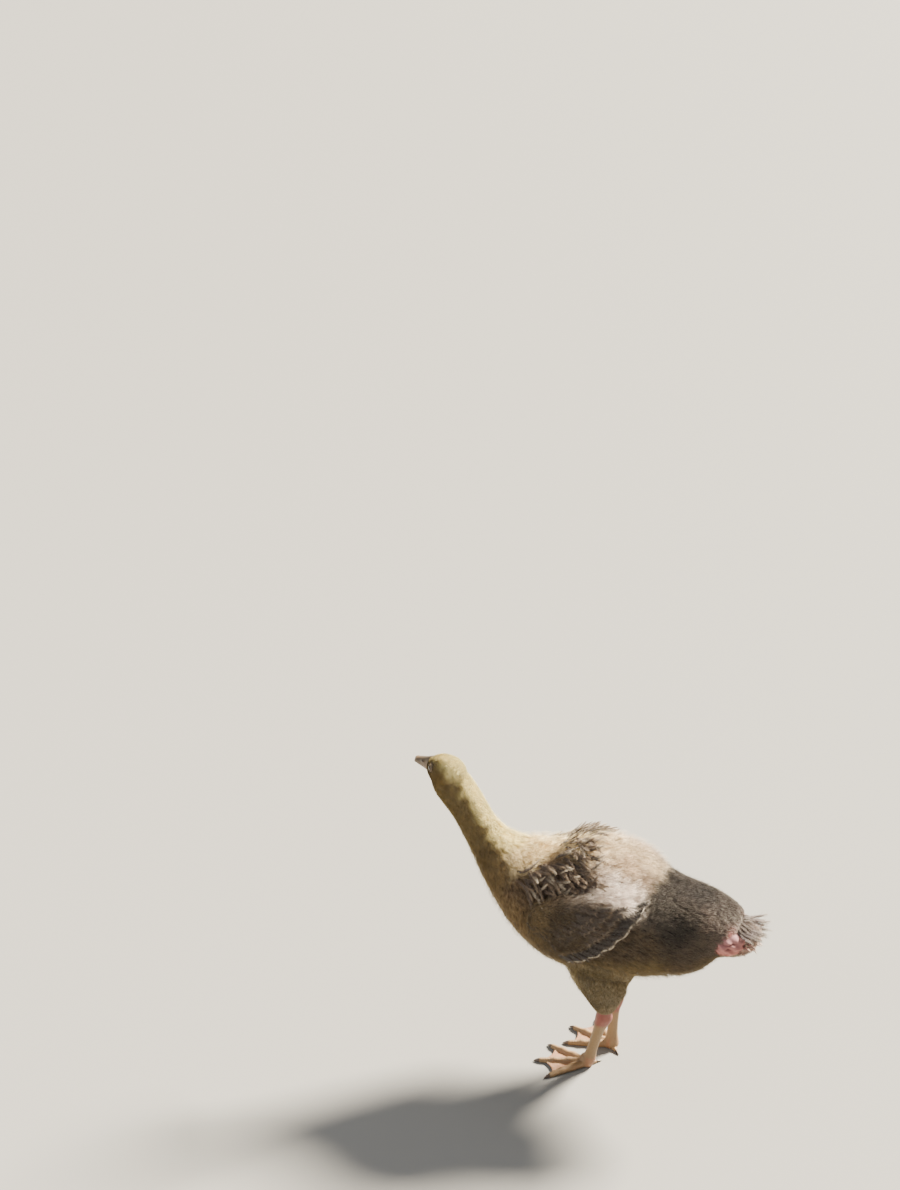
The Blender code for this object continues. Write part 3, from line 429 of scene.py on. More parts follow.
class Value:
    """One output of a shader node, so that shader sums are written as ordinary sums."""

    def __init__(self, tree, socket):
        self.tree = tree
        self.socket = socket

    def node(self, kind, settings=None, **inputs):
        """Adds a node: its settings first, then the values or links of its sockets; gives its outputs."""
        made = self.tree.nodes.new(kind)
        for name, setting in (settings or {}).items():
            if name == "stops":
                ramp = made.color_ramp.elements
                while len(ramp) < len(setting):
                    ramp.new(1)
                for stop, (place, colour) in zip(ramp, setting):
                    stop.position = place
                    stop.color = (*colour, 1)
            else:
                setattr(made, name, setting)
        for name, given in inputs.items():
            key = int(name[1:]) if name[0] == "_" else name.replace("_", " ")
            if isinstance(given, Value):
                self.tree.links.new(given.socket, made.inputs[key])
            else:
                made.inputs[key].default_value = given
        return [Value(self.tree, out) for out in made.outputs]

    def sum(self, operation, other, flip=False):
        first, second = (other, self) if flip else (self, other)
        return self.node("ShaderNodeMath", {"operation": operation}, _0=first, _1=second)[0]

    def __add__(self, other):
        return self.sum("ADD", other)

    def __sub__(self, other):
        return self.sum("SUBTRACT", other)

    def __rsub__(self, other):
        return self.sum("SUBTRACT", other, True)

    def __mul__(self, other):
        return self.sum("MULTIPLY", other)

    __radd__ = __add__
    __rmul__ = __mul__

    def between(self, low, high):
        """0 below low, 1 above high and an even slope between them."""
        limits = {"From_Min": low, "From_Max": high}
        return self.node("ShaderNodeMapRange", {"clamp": True}, Value=self, **limits)[0]

    def mix(self, colour, other):
        """From one colour to another as this value goes from 0 to 1."""
        made = self.node("ShaderNodeMix", {"data_type": "RGBA"}, _0=self, _6=colour, _7=other)
        return made[2]


def finish_named(name, roughness, **constants):
    """A new material: its shader, a Value on its tree to start sums from, and the material."""
    made = bpy.data.materials.new(name)
    made.use_nodes = True
    shader = made.node_tree.nodes["Principled BSDF"]
    shader.inputs["Roughness"].default_value = roughness
    for key, number in constants.items():
        shader.inputs[key.replace("_", " ")].default_value = number
    places = made.node_tree.nodes.new("ShaderNodeTexCoord")
    return made, shader, Value(made.node_tree, places.outputs["Object"])


def feed(shader, socket, value):
    value.tree.links.new(value.socket, shader.inputs[socket])


def noise(place, scale, detail=2.0, roughness=0.5):
    """An even cloud of values round 0.5, `scale` spots to the metre."""
    inputs = {"Scale": scale, "Detail": detail, "Roughness": roughness}
    return place.node("ShaderNodeTexNoise", None, Vector=place, **inputs)[0]


def feed_colour(shader, place, share, amount):
    """The colours that the mesh keeps, made lighter and darker from place to place by up to the amount."""
    colour = place.node("ShaderNodeAttribute", {"attribute_name": "coat"})[0]
    level = share * (2 * amount) + (1 - amount)
    tint = place.node("ShaderNodeCombineColor", None, Red=level, Green=level, Blue=level)[0]
    multiply = {"data_type": "RGBA", "blend_type": "MULTIPLY"}
    feed(shader, "Base Color", place.node("ShaderNodeMix", multiply, _0=1.0, _6=colour, _7=tint)[2])


def feed_bump(shader, place, strength, distance, height):
    """A surface raised and sunk by up to the distance."""
    bump = place.node("ShaderNodeBump", None, Strength=strength, Distance=distance, Height=height)
    feed(shader, "Normal", bump[0])


skin_finish, skin_shader, skin_place = finish_named("skin_under_down", 0.9)
feed_colour(skin_shader, skin_place, noise(skin_place, 400, 3), 0.25)
feed_bump(skin_shader, skin_place, 0.5, 0.4 * MM, noise(skin_place, 900, 3))
skin.data.materials.append(skin_finish)
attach(skin, "root")
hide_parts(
    "torso", "neck", "head", "tail", "vent",
    "drumstick_left", "drumstick_right", "wing_left", "wing_right",
)

# The down
# Thousands of soft tapered tufts grow from the skin, lie back along the body and down the thighs, and
# gather in small locks. They are finest on the face. A few longer ones stand out of the coat.

COAT_SEED = 5
PATCH = 0.003
LOCK_FACES = np.array(
    ((0, 1, 4), (0, 4, 3), (1, 2, 5), (1, 5, 4), (2, 0, 3), (2, 3, 5), (3, 4, 6), (4, 5, 6), (5, 3, 6))
)
LOCK_PATCH = np.array(((-1, 0), (1, 0), (0, 0.2), (-0.8, 1), (0.8, 1), (0, 1.1), (0, 2))) * PATCH / 2
ROOT_SINK = 0.4 * MM
STRAY_SHARE = 0.3
LINE_BLEND = 7 * MM  # over how much of the body's line its direction is evened out
LOCK_AREA = 26  # square millimetres of skin to a lock
LOCK_PULL = 0.45


def line_through(table):
    rows = smooth_rows(table, 3)[:, :2]
    return np.column_stack([rows[:, 0], np.zeros(len(rows)), rows[:, 1]]) * MM + np.array(ZERO)


head_line = np.array([head_place @ (Vector((x, 0, -2)) * MM) for x in (-34, -26, -18, -10, -2, 6)])
body_line = line_through(TRUNK)[::-1]
body_line = np.vstack([head_line, body_line[body_line[:, 2] < 338 * MM]])
line_steps = np.linalg.norm(np.diff(body_line, axis=0), axis=1)
line_place = np.concatenate([[0], np.cumsum(line_steps)]) / line_steps.sum()
line_ways = np.gradient(body_line, axis=0)


def unit(ways):
    return ways / np.maximum(np.linalg.norm(ways, axis=-1, keepdims=True), 1e-9)


line_ways = unit(line_ways)


def along_body(points):
    """For points on the body: where they are along its line, and the way that the line runs there."""
    shares, ways = np.empty(len(points)), np.empty((len(points), 3))
    for start in range(0, len(points), BATCH):
        some = points[start : start + BATCH]
        apart = np.linalg.norm(some[:, None] - body_line[None], axis=2)
        apart -= apart.min(1, keepdims=True)
        weights = np.exp(-((apart / LINE_BLEND) ** 2))
        weights /= weights.sum(1, keepdims=True)
        shares[start : start + BATCH] = weights @ line_place
        ways[start : start + BATCH] = weights @ line_ways
    return shares, unit(ways)


def laid_flat(points, normals, region):
    """The way that the coat lies at each point, along the surface."""
    if region == "thigh":
        ways = np.tile([0.35, 0.0, -1.0], (len(points), 1))
    elif region == "arm":
        rise = np.clip((points[:, 2] - 222 * MM) / (45 * MM), -1, 1)
        ways = np.column_stack([np.ones(len(points)), np.zeros(len(points)), 0.5 * rise])
    else:
        ways = along_body(points)[1]
    return unit(ways - normals * (ways * normals).sum(1, keepdims=True))


def unwrapped(points, region):
    """Where a point lies on the skin rolled out flat: along the body, and round it."""
    if region in ("thigh", "arm"):
        across = 0.69 + np.where(points[:, 1] < 0, 0.0, 0.15)
        rise = 0.0 if region == "thigh" else 0.5
        width = np.clip((points[:, 0] + 60 * MM) / (180 * MM), 0, 1)
        height = np.clip((points[:, 2] - 60 * MM) / (240 * MM), 0, 1)
        return np.column_stack([across + 0.14 * width, rise + 0.48 * height])
    shares, ways = along_body(points)
    nearest = np.array([np.interp(shares, line_place, body_line[:, k]) for k in range(3)]).T
    out = points - nearest
    up = unit(np.cross(ways, np.array([0.0, 1.0, 0.0])))
    up *= np.sign(up[:, 2:3] + 1e-9)
    turn = np.arctan2((out * np.cross(up, ways)).sum(1), (out * up).sum(1)) / (2 * math.pi) + 0.5
    return np.column_stack([0.01 + 0.66 * turn, 0.01 + 0.98 * shares])


class Coat:
    """Corners, triangles, bake patches and colours of many small closed shapes, gathered for one piece."""

    def __init__(self):
        self.corners, self.faces, self.patches, self.colours = [], [], [], []
        self.count = 0

    def add(self, corners, faces, patches, colours):
        """Adds like shapes: arrays of shape by corner, and the triangles of one of them."""
        number, each = corners.shape[:2]
        starts = self.count + np.arange(number) * each
        self.faces.append((faces[None] + starts[:, None, None]).reshape(-1, 3))
        for held, given in ((self.corners, corners), (self.patches, patches), (self.colours, colours)):
            held.append(given.reshape(number * each, -1))
        self.count += number * each

    def add_locks(self, base, middle, tip, side, up, width, spots, colours):
        """Locks: three-sided, widest at the root, bent once and drawn to a point."""
        reach = side * width / 2
        rise = up * width * 0.32
        rings = (base - reach, base + reach, base + rise, middle - reach * 0.84, middle + reach * 0.84)
        corners = np.stack([*rings, middle + rise * 0.8, tip], axis=1)
        root, half, end = colours
        self.add(
            corners, LOCK_FACES, spots[:, None] + LOCK_PATCH[None],
            np.stack([root, root, root, half, half, half, end], axis=1),
        )

    def piece(self, name, finish):
        """The gathered shapes as one object of the scene."""
        corners, faces, patches, colours = (
            np.concatenate(held) for held in (self.corners, self.faces, self.patches, self.colours)
        )
        mesh = bpy.data.meshes.new(name)
        mesh.vertices.add(len(corners))
        mesh.vertices.foreach_set("co", np.ascontiguousarray(corners, np.float32).ravel())
        mesh.loops.add(faces.size)
        mesh.loops.foreach_set("vertex_index", faces.ravel().astype(np.int32))
        mesh.polygons.add(len(faces))
        mesh.polygons.foreach_set("loop_start", np.arange(0, faces.size, 3, dtype=np.int32))
        mesh.update(calc_edges=True)
        layer = mesh.uv_layers.new(name="OFBake")
        layer.data.foreach_set("uv", patches[faces.ravel()].astype(np.float32).ravel())
        give_colours(mesh, "coat", colours)
        mesh.shade_smooth()
        mesh.materials.append(finish)
        made = bpy.data.objects.new(name, mesh)
        bpy.context.scene.collection.objects.link(made)
        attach(made, "root")
        return made


def tufts(coat, roots, normals, ways, facts, region, chance):
    """Tufts of down on the roots, leaning together in locks."""
    count = len(roots)
    one = (count, 1)
    loose = np.clip(facts[:, 0:1] / (6 * MM), 0.1, 1)
    ways = unit(ways + np.cross(normals, ways) * chance.normal(0, 0.18, one) * (1 + 1.6 * loose**2))
    sides = np.cross(normals, ways)
    height = facts[:, 0:1] * chance.uniform(0.62, 1.12, one)
    length = facts[:, 1:2] * chance.uniform(0.75, 1.15, one)
    width = facts[:, 2:3] * chance.uniform(0.8, 1.25, one)
    stray = chance.random(one) < STRAY_SHARE * loose**2
    height = np.where(stray, height * (1.15 + 0.85 * loose), height)
    width = np.where(stray, width * 0.5, width)
    drift = sides * length * chance.normal(0, 0.12, one)
    tip = roots + ways * length * 0.92 + normals * height + drift

    leaders = chance.choice(count, max(1, int(count * np.median(1 / facts[:, 3]) / LOCK_AREA)), replace=False)
    tree = KDTree(len(leaders))
    for place, leader in enumerate(leaders):
        tree.insert(roots[leader], place)
    tree.balance()
    led_by = np.array([leaders[tree.find(root)[1]] for root in roots])
    lock_shade = chance.uniform(0.86, 1.14, one)[led_by]
    lock_tip = tip[led_by] + (roots - roots[led_by]) * 0.35
    lock_pull = np.where(stray, 0.0, LOCK_PULL * loose)
    tip = tip + (lock_tip - tip) * lock_pull
    middle = roots + (tip - roots) * 0.45 + normals * height * 0.3

    shade = lock_shade * chance.uniform(0.85, 1.15, one)
    dark, pale = facts[:, 4:7] * shade, facts[:, 7:10] * shade
    spots = unwrapped(roots, region)
    base = roots - normals * ROOT_SINK
    coat.add_locks(base, middle, tip, sides, normals, width, spots, (dark, blended(dark, pale, 0.55), pale))


skin.data.calc_loop_triangles()
skin_corners = corners_of(skin.data)
skin_ways = corners_of(skin.data, "normal")
skin_faces = np.empty(len(skin.data.loop_triangles) * 3, np.int64)
skin.data.loop_triangles.foreach_get("vertices", skin_faces)
skin_faces = skin_faces.reshape(-1, 3)
face_corners = skin_corners[skin_faces]
face_middles = face_corners.mean(1)
face_edges = face_corners[:, 1:] - face_corners[:, :1]
face_areas = np.linalg.norm(np.cross(face_edges[:, 0], face_edges[:, 1]), axis=1) / 2
face_coat = coat_at(face_middles)


def nearest_form(point):
    """The name of the form whose surface lies nearest to a point."""
    return min(surfaces, key=lambda name: surfaces[name].find_nearest(point)[3])


face_form = np.array([nearest_form(Vector(point)) for point in face_middles])
EYE = Vector((-6, 14.8, 5)) * MM  # in the head's own frame, its y to either side
BARE_ROUND_EYE = 4.6 * MM
BILL_ROOT = -29 * MM
from_head = np.array(head_place.inverted())
in_head = face_middles @ from_head[:3, :3].T + from_head[:3, 3]
to_eye = np.linalg.norm(in_head * [1, 0, 1] - np.array([EYE.x, 0, EYE.z]), axis=1)
bare = (face_form == "head") & ((to_eye < BARE_ROUND_EYE) & (np.abs(in_head[:, 1]) > 8 * MM))
bare |= (face_form == "head") & (in_head[:, 0] < BILL_ROOT)


def grow_down(name, chosen, region):
    """A piece of the down on the chosen triangles of the skin."""
    chance = np.random.default_rng([COAT_SEED, *name.encode()])
    wanted = face_areas * face_coat[:, 3] / MM**2 * (chosen & ~bare)
    count = int(wanted.sum())
    picked = chance.choice(len(wanted), count, p=wanted / wanted.sum())
    a, b = chance.random(count), chance.random(count)
    over = a + b > 1
    a, b = np.where(over, 1 - a, a)[:, None], np.where(over, 1 - b, b)[:, None]
    shares = np.stack([1 - a - b, a, b], axis=1)
    roots = (skin_corners[skin_faces[picked]] * shares).sum(1)
    normals = unit((skin_ways[skin_faces[picked]] * shares).sum(1))
    coat = Coat()
    tufts(coat, roots, normals, laid_flat(roots, normals, region), coat_at(roots), region, chance)
    return coat.piece(name, down_finish)


down_finish, down_shader, down_place = finish_named("down", 0.85, Sheen_Weight=0.35, Sheen_Roughness=0.4)
down_shader.inputs["Sheen Tint"].default_value = (1.0, 0.93, 0.78, 1)
down_shader.inputs["Specular IOR Level"].default_value = 0.2
down_mottle = noise(down_place, 75, 3, 0.5) * 0.5 + noise(down_place, 210, 4, 0.6) * 0.5
feed_colour(down_shader, down_place, down_mottle, 0.44)

NECK_AHEAD_OF = -105 * MM
NECK_ABOVE = 240 * MM
BACK_ABOVE = 258 * MM
BELLY_BELOW = 165 * MM
RUMP_BEHIND = 78 * MM
on_trunk = face_form == "trunk"
on_neck = on_trunk & (face_middles[:, 0] < NECK_AHEAD_OF + ZERO.x) & (face_middles[:, 2] > NECK_ABOVE)
on_body = on_trunk & ~on_neck
high = face_middles[:, 2] > BACK_ABOVE
low = face_middles[:, 2] < BELLY_BELOW
rear = face_middles[:, 0] > RUMP_BEHIND + ZERO.x
grow_down("down_head", face_form == "head", "body")
grow_down("down_back", on_body & high & ~rear, "body")
grow_down("down_belly", on_body & low & ~rear, "body")
for word, side in SIDES.items():
    this_side = face_middles[:, 1] * side > 0
    grow_down("down_neck_" + word, on_neck & this_side, "body")
    grow_down("down_flank_" + word, on_body & ~high & ~low & ~rear & this_side, "body")
    grow_down("down_rump_" + word, on_body & rear & this_side, "body")
    grow_down("down_thigh_" + word, face_form == "thigh_" + word, "thigh")
    grow_down("down_arm_" + word, face_form == "arm_" + word, "arm")

# The shoulder feathers
# Rows of soft ribbon feathers run back from both shoulders over the back. Each has a shaft and loose
# barbs, dark at the root and frayed pale at the end, and many curl up or turn over.

SHAFT_STEPS = 8
BACK_AXIS_Z = 212 * MM
SCAPULARS = {
    # the angle round the back, the x of the first and last feather, how many, and their length
    LEFT: (
        (57, -74, -6, 8, 22),
        (52, -84, -6, 11, 25),
        (47, -88, -8, 12, 27),
        (42, -88, -10, 12, 29),
        (37, -82, -12, 11, 30),
        (31, -70, -16, 8, 30),
        (24, -46, -16, 6, 28),
        (17, -42, -14, 6, 26),
        (10, -46, -16, 7, 23),
        (4, -48, -18, 7, 22),
    ),
    RIGHT: (
        (57, -74, -8, 8, 22),
        (51, -84, -12, 10, 25),
        (44, -86, -20, 10, 28),
        (38, -78, -26, 9, 29),
        (33, -68, -28, 8, 28),
        (27, -62, -26, 8, 27),
        (21, -56, -24, 8, 26),
        (15, -52, -20, 8, 24),
        (9, -50, -18, 8, 23),
        (3, -48, -18, 7, 22),
    ),
}
SCAPULAR_HALF_WIDTH = 3.8 * MM
SCAPULAR_LIFTS = ((0, 0.34, 0.68, 1), (-2.5, 2.0, 3.0, 3.2))
SCAPULAR_CURL = 5 * MM
SCAPULAR_COLOURS = ((68, 53, 41), (96, 78, 61), (202, 186, 162))  # shaft side, vane edge, pale end
DULL_END = (134, 113, 90)
PALE_SHARE = 0.38
VANE_PROFILE = ((0, 0.12, 0.35, 0.75, 0.93, 1), (0.4, 0.8, 1, 0.92, 0.6, 0.34))
BARB_ANGLES = ((0, 0.6, 1), (54, 42, 10))
VANE_THICKNESS = 0.22 * MM
VANE_DROP = 0.35 * MM


def along_paths(paths, shares):
    """Points at given shares of the way along each of several paths; shares are feather by place."""
    steps = paths.shape[1] - 1
    first = np.clip((shares * steps).astype(int), 0, steps - 1)
    rest = (shares * steps - first)[..., None]
    row = np.arange(len(paths))[:, None]
    return blended(paths[row, first], paths[row, first + 1], rest)


def tube_faces(rings, sides):
    """The triangles of a closed tube of several rings, its corners numbered ring by ring."""
    faces = []
    for ring in range(rings - 1):
        for k in range(sides):
            a, b = ring * sides + k, ring * sides + (k + 1) % sides
            faces += [(a, b, b + sides), (a, b + sides, a + sides)]
    last = (rings - 1) * sides
    for k in range(1, sides - 1):
        faces += [(0, k + 1, k), (last, last + k, last + k + 1)]
    return np.array(faces)


def add_feathers(
    coat, paths, ups, half_widths, colours, region, chance, barbs, fray=0.2, stem=0.5 * MM, sheath=0.0,
    pale_from=0.6, outline=VANE_PROFILE, angles=BARB_ANGLES,
):
    """Feathers along paths: a shaft, a thin web below it and barbs on both sides.

    colours are near the shaft, at the vane's edge and at its end, one row a feather. A sheath is the share
    of the length at the root where the feather is still rolled up in its thick quill, and pale_from the
    share from which the colour of the end comes in.
    """
    number, steps = paths.shape[:2]
    ways = unit(np.gradient(paths, axis=1))
    sides = unit(np.cross(ups, ways))
    ups = np.cross(ways, sides)
    lengths = np.linalg.norm(np.diff(paths, axis=1), axis=2).sum(1)
    body, edge, end = colours
    steps_share = np.linspace(0, 1, steps)
    spots = unwrapped(paths.reshape(-1, 3), region).reshape(number, steps, 2)

    open_share = np.clip((steps_share - sheath) / max(1e-6, 1 - sheath), 0, 1)
    half = half_widths[:, None] * np.interp(open_share, *outline)[None] * 0.5
    half = np.where(steps_share[None] < sheath, stem, half)[..., None]
    thin = ups * VANE_THICKNESS
    low = paths - ups * VANE_DROP
    rings = np.stack([low - sides * half, low - thin, low + sides * half, low + thin], axis=2)
    web_patch = spots[:, :, None] + (np.array(((-1, 0), (0, -1), (1, 0), (0, 1))) * PATCH / 4)[None, None]
    end_share = np.clip((steps_share - pale_from) / (1 - pale_from), 0, 1)[None, :, None]
    web = np.broadcast_to(blended(body[:, None], end[:, None], 0.6 * end_share)[:, :, None], rings.shape)
    count = number, steps * 4
    coat.add(
        rings.reshape(*count, 3), tube_faces(steps, 4), web_patch.reshape(*count, 2), web.reshape(*count, 3)
    )

    quill_end = (0, max(sheath, 0.02), min(sheath + 0.1, 0.5), 1)
    thick = stem * np.interp(steps_share, quill_end, (1, 1, 0.55, 0.2))
    turns = np.arange(5) * 2 * math.pi / 5
    level, rise = np.cos(turns)[None, None, :, None], np.sin(turns)[None, None, :, None]
    spokes = sides[:, :, None] * level + ups[:, :, None] * rise
    rings = paths[:, :, None] + spokes * thick[None, :, None, None]
    shaft = np.broadcast_to(blended(body, end, 0.25)[:, None, None], rings.shape)
    stem_patch = np.broadcast_to(spots[:, :, None], (number, steps, 5, 2)) + (
        np.column_stack([np.cos(turns), np.sin(turns)]) * PATCH / 6
    )
    count = number, steps * 5
    rings, shaft = rings.reshape(*count, 3), shaft.reshape(*count, 3)
    coat.add(rings, tube_faces(steps, 5), stem_patch.reshape(*count, 2), shaft)

    for hand in (-1, 1):
        along = np.linspace(0.04, 1, barbs)[None] + chance.uniform(-0.4, 0.4, (number, barbs)) / barbs
        along = sheath + (1 - sheath) * np.clip(along, 0.02, 1)
        opened = (along - sheath) / (1 - sheath)
        root, way = along_paths(paths, along), along_paths(ways, along)
        side, up = along_paths(sides, along) * hand, along_paths(ups, along)
        angle = np.radians(np.interp(opened, *angles) + chance.normal(0, 5 + 20 * fray, along.shape))
        wide = half_widths[:, None] * np.interp(opened, *outline)
        reach = wide / np.maximum(np.sin(angle), 0.4) * chance.uniform(1 - fray, 1 + fray * 0.5, along.shape)
        reach = reach[..., None]
        out = way * np.cos(angle)[..., None] + side * np.sin(angle)[..., None]
        turned = way * np.cos(angle * 0.4)[..., None] + side * np.sin(angle * 0.4)[..., None]
        droop = up * reach * (chance.normal(0.02, fray * 0.5, along.shape))[..., None]
        middle = root + out * reach * 0.55 + up * 0.1 * MM
        tip = root + out * reach * 0.6 + turned * reach * 0.42 - droop
        gap = lengths[:, None] * (1 - sheath) / barbs * np.sin(np.maximum(angle, 0.5))
        width = gap[..., None] * 1.2
        fade = np.clip((opened - pale_from) / (1 - pale_from), 0, 1)[..., None]
        shade = chance.uniform(0.82, 1.2, (number, barbs, 1))
        inner = blended(body[:, None], end[:, None], 0.75 * fade) * shade
        outer = blended(edge[:, None], end[:, None], fade) * shade
        flat = [a.reshape(-1, 3) for a in (root, middle, tip, np.cross(up, out), up)]
        tints = [a.reshape(-1, 3) for a in (inner, blended(inner, outer, 0.5), outer)]
        where = along_paths(spots, along).reshape(-1, 2)
        coat.add_locks(*flat, width.reshape(-1, 1), where, tints)


def round_back(x, angle, side):
    """The trunk's surface at x and at an angle round the back, and its outward normal."""
    way = Vector((0, side * math.sin(angle), math.cos(angle)))
    hit, normal, _, _ = trunk_surface.ray_cast(Vector((x + ZERO.x, ZERO.y, BACK_AXIS_Z)), way)
    return hit, normal


def tinted(colours, number, chance, amount=0.12):
    """The three colours of each of several feathers, each feather a little lighter or darker."""
    shade = chance.uniform(1 - amount, 1 + amount, (number, 1))
    return [paint(colour)[None] * shade for colour in colours]


feather_finish, feather_shader, feather_place = finish_named(
    "feather", 0.62, Sheen_Weight=0.2, Sheen_Roughness=0.5
)
feather_shader.inputs["Specular IOR Level"].default_value = 0.3
feed_colour(feather_shader, feather_place, noise(feather_place, 300, 3), 0.15)

for word, side in SIDES.items():
    chance = np.random.default_rng([COAT_SEED, 100 + side])
    paths, ups = [], []
    for angle, first, last, count, length in SCAPULARS[side]:
        for place in np.linspace(first, last, count):
            start = (place + chance.uniform(-3.5, 3.5)) * MM
            long = length * MM * chance.uniform(0.82, 1.15)
            turn = math.radians(8 + chance.normal(0, 5))
            swing = math.radians(chance.normal(0, 7))
            curl = SCAPULAR_CURL * chance.uniform(0.3, 1.5)
            roll = math.radians(chance.normal(0, 26))
            here = math.radians(angle + chance.uniform(-2, 2))
            path, up = [], []
            for share in np.linspace(0, 1, SHAFT_STEPS):
                hit, normal = round_back(start + long * share, here + turn * share + swing * share**2, side)
                lift = np.interp(share, *SCAPULAR_LIFTS) * MM + curl * share**3
                path.append(hit + normal * lift)
                up.append((normal + normal.cross(Vector((1, 0, 0))) * math.tan(roll * share)).normalized())
            paths.append(path)
            ups.append(up)
    number = len(paths)
    halves = SCAPULAR_HALF_WIDTH * chance.uniform(0.8, 1.15, number)
    coat = Coat()
    body, edge, end = tinted(SCAPULAR_COLOURS, number, chance, 0.2)
    end = np.where(chance.random((number, 1)) < PALE_SHARE, end, paint(DULL_END))
    add_feathers(
        coat, np.array(paths), np.array(ups), halves, (body, edge, end), "body", chance,
        barbs=34, fray=0.4, stem=0.35 * MM, pale_from=0.55,
    )
    coat.piece("shoulder_feathers_" + word, feather_finish)

# The wing feathers
# Each short wing carries flight feathers just out of their quills, with three rows of coverts over their
# roots. The vanes are dark and lie on the flank, and their ends are a pale frayed fringe.

FLIGHT_COUNT = 24
FLIGHT_FIRST_TIP = Vector((-14, 176)) * MM
FLIGHT_LAST_TIP = Vector((68, 252)) * MM
FLIGHT_BULGE = 11 * MM
FLIGHT_LENGTH = 46 * MM
FLIGHT_HALF_WIDTH = 4.6 * MM
FLIGHT_SLOPES = (math.radians(-34), math.radians(12))
FLIGHT_LIFTS = ((0, 0.35, 0.7, 0.9, 1), (1.0, 3.6, 4.2, 4.4, 4.6))
COVERT_LIFTS = ((0, 0.35, 0.7, 0.9, 1), (4.0, 8.2, 9.2, 9.2, 8.8))
COVERT_ROWS = (
    # how many, how far drawn in, how much higher, and the last one's share of the row
    (17, 17, 0.0, 0.84),
    (14, 28, 2.2, 0.74),
    (11, 38, 3.2, 0.6),
)
COVERT_LENGTH = 28 * MM
COVERT_HALF_WIDTH = 4.4 * MM
WING_SHINGLE = 0.8 * MM
FLIGHT_OUTLINE = ((0, 0.12, 0.35, 0.75, 0.95, 1), (0.4, 0.8, 1, 1, 0.95, 0.8))
FLIGHT_BARBS = ((0, 0.6, 1), (54, 48, 52))
FLIGHT_COLOURS = ((44, 36, 31), (60, 50, 42), (104, 90, 75))
FRINGE_COUNT = 110
FRINGE_LENGTH = 9 * MM
FRINGE_WIDTH = 0.75 * MM
FRINGE_HEIGHT = {LEFT: 5.2 * MM, RIGHT: 6.4 * MM}
FRINGE_WAVE = 1.3 * MM
FRINGE_TURNS = 34
FRINGE_ENDS = (0.02, 0.93)
FRINGE_COLOURS = ((150, 136, 116), (196, 182, 160), (222, 208, 186))
COVERT_COLOURS = ((62, 51, 41), (84, 70, 58), (128, 111, 94))


def flight_tip(share, draw_in):
    """Where along the row of tips a flight feather ends, x and z, drawn in towards the arm."""
    out = FLIGHT_LAST_TIP - FLIGHT_FIRST_TIP
    out = Vector((out.y, -out.x)).normalized()
    bulge = FLIGHT_BULGE * 4 * share * (1 - share)
    return FLIGHT_FIRST_TIP.lerp(FLIGHT_LAST_TIP, share) + out * (bulge - draw_in)


def laid_feather(side, tip, slope, length, lifts, raised, bend):
    """The path of a feather laid on the flank to its tip, x and z, and the way outwards along it."""
    path, up = [], []
    for share in np.linspace(0, 1, SHAFT_STEPS):
        back = slope + bend * (1 - share)
        place = tip - Vector((math.cos(back), math.sin(back))) * length * (1 - share)
        hit, normal = flank(place.x, place.y, side)
        path.append(hit + normal * (np.interp(share, *lifts) * MM + raised))
        up.append(normal)
    return path, up


for word, side in SIDES.items():
    chance = np.random.default_rng([COAT_SEED, 200 + side])
    coat = Coat()
    rows = [(FLIGHT_COUNT, 0, 0, 1, FLIGHT_LENGTH, FLIGHT_HALF_WIDTH, FLIGHT_LIFTS, FLIGHT_COLOURS, 42, 0.2)]
    for count, draw_in, rise, last in COVERT_ROWS:
        sizes = (COVERT_LENGTH, COVERT_HALF_WIDTH, COVERT_LIFTS, COVERT_COLOURS, 28, 0.12)
        rows.append((count, draw_in * MM, rise * MM, last, *sizes))
    for count, draw_in, rise, last, length, half, lifts, colours, barbs, sheath in rows:
        laid = []
        for i in range(count):
            share = last * (i + 0.2) / (count - 0.8)
            slope = FLIGHT_SLOPES[0] + (FLIGHT_SLOPES[1] - FLIGHT_SLOPES[0]) * share + chance.normal(0, 0.05)
            tip = flight_tip(share, draw_in + chance.uniform(-1.5, 1.5) * MM) + ARM_SHIFT[side]
            raised = rise + WING_SHINGLE * (i % 2)
            long = length * chance.uniform(0.92, 1.05)
            laid.append(laid_feather(side, tip, slope, long, lifts, raised, chance.normal(0.12, 0.05)))
        paths, ups = np.array([path for path, _ in laid]), np.array([up for _, up in laid])
        halves = half * chance.uniform(0.88, 1.1, count)
        add_feathers(
            coat, paths, ups, halves, tinted(colours, count, chance), "arm", chance,
            barbs=barbs, fray=0.3, stem=0.6 * MM, sheath=sheath,
            pale_from=0.9, outline=FLIGHT_OUTLINE, angles=FLIGHT_BARBS,
        )

    lines = []
    for share in np.linspace(*FRINGE_ENDS, FRINGE_COUNT):
        line = []
        stray = chance.normal(0, 0.5) * MM
        for step in (-0.5, 0, 0.5):
            here = share + step * FRINGE_LENGTH / (FLIGHT_LAST_TIP - FLIGHT_FIRST_TIP).length
            wave = FRINGE_WAVE * math.sin(here * FRINGE_TURNS) + stray * (1 + step)
            place = flight_tip(here, wave) + ARM_SHIFT[side]
            hit, normal = flank(place.x, place.y, side)
            line.append((hit + normal * FRINGE_HEIGHT[side], normal))
        lines.append(line)
    points, ways = (np.array([[line[k][which] for line in lines] for k in range(3)]) for which in (0, 1))
    base, middle, tip = points
    up = ways[1]
    across = unit(np.cross(up, tip - base))
    width = FRINGE_WIDTH * chance.uniform(0.7, 1.2, (FRINGE_COUNT, 1))
    tints = [np.tile(paint(colour), (FRINGE_COUNT, 1)) for colour in FRINGE_COLOURS]
    coat.add_locks(base, middle, tip, across, up, width, unwrapped(base, "arm"), tints)
    coat.piece("wing_feathers_" + word, feather_finish)
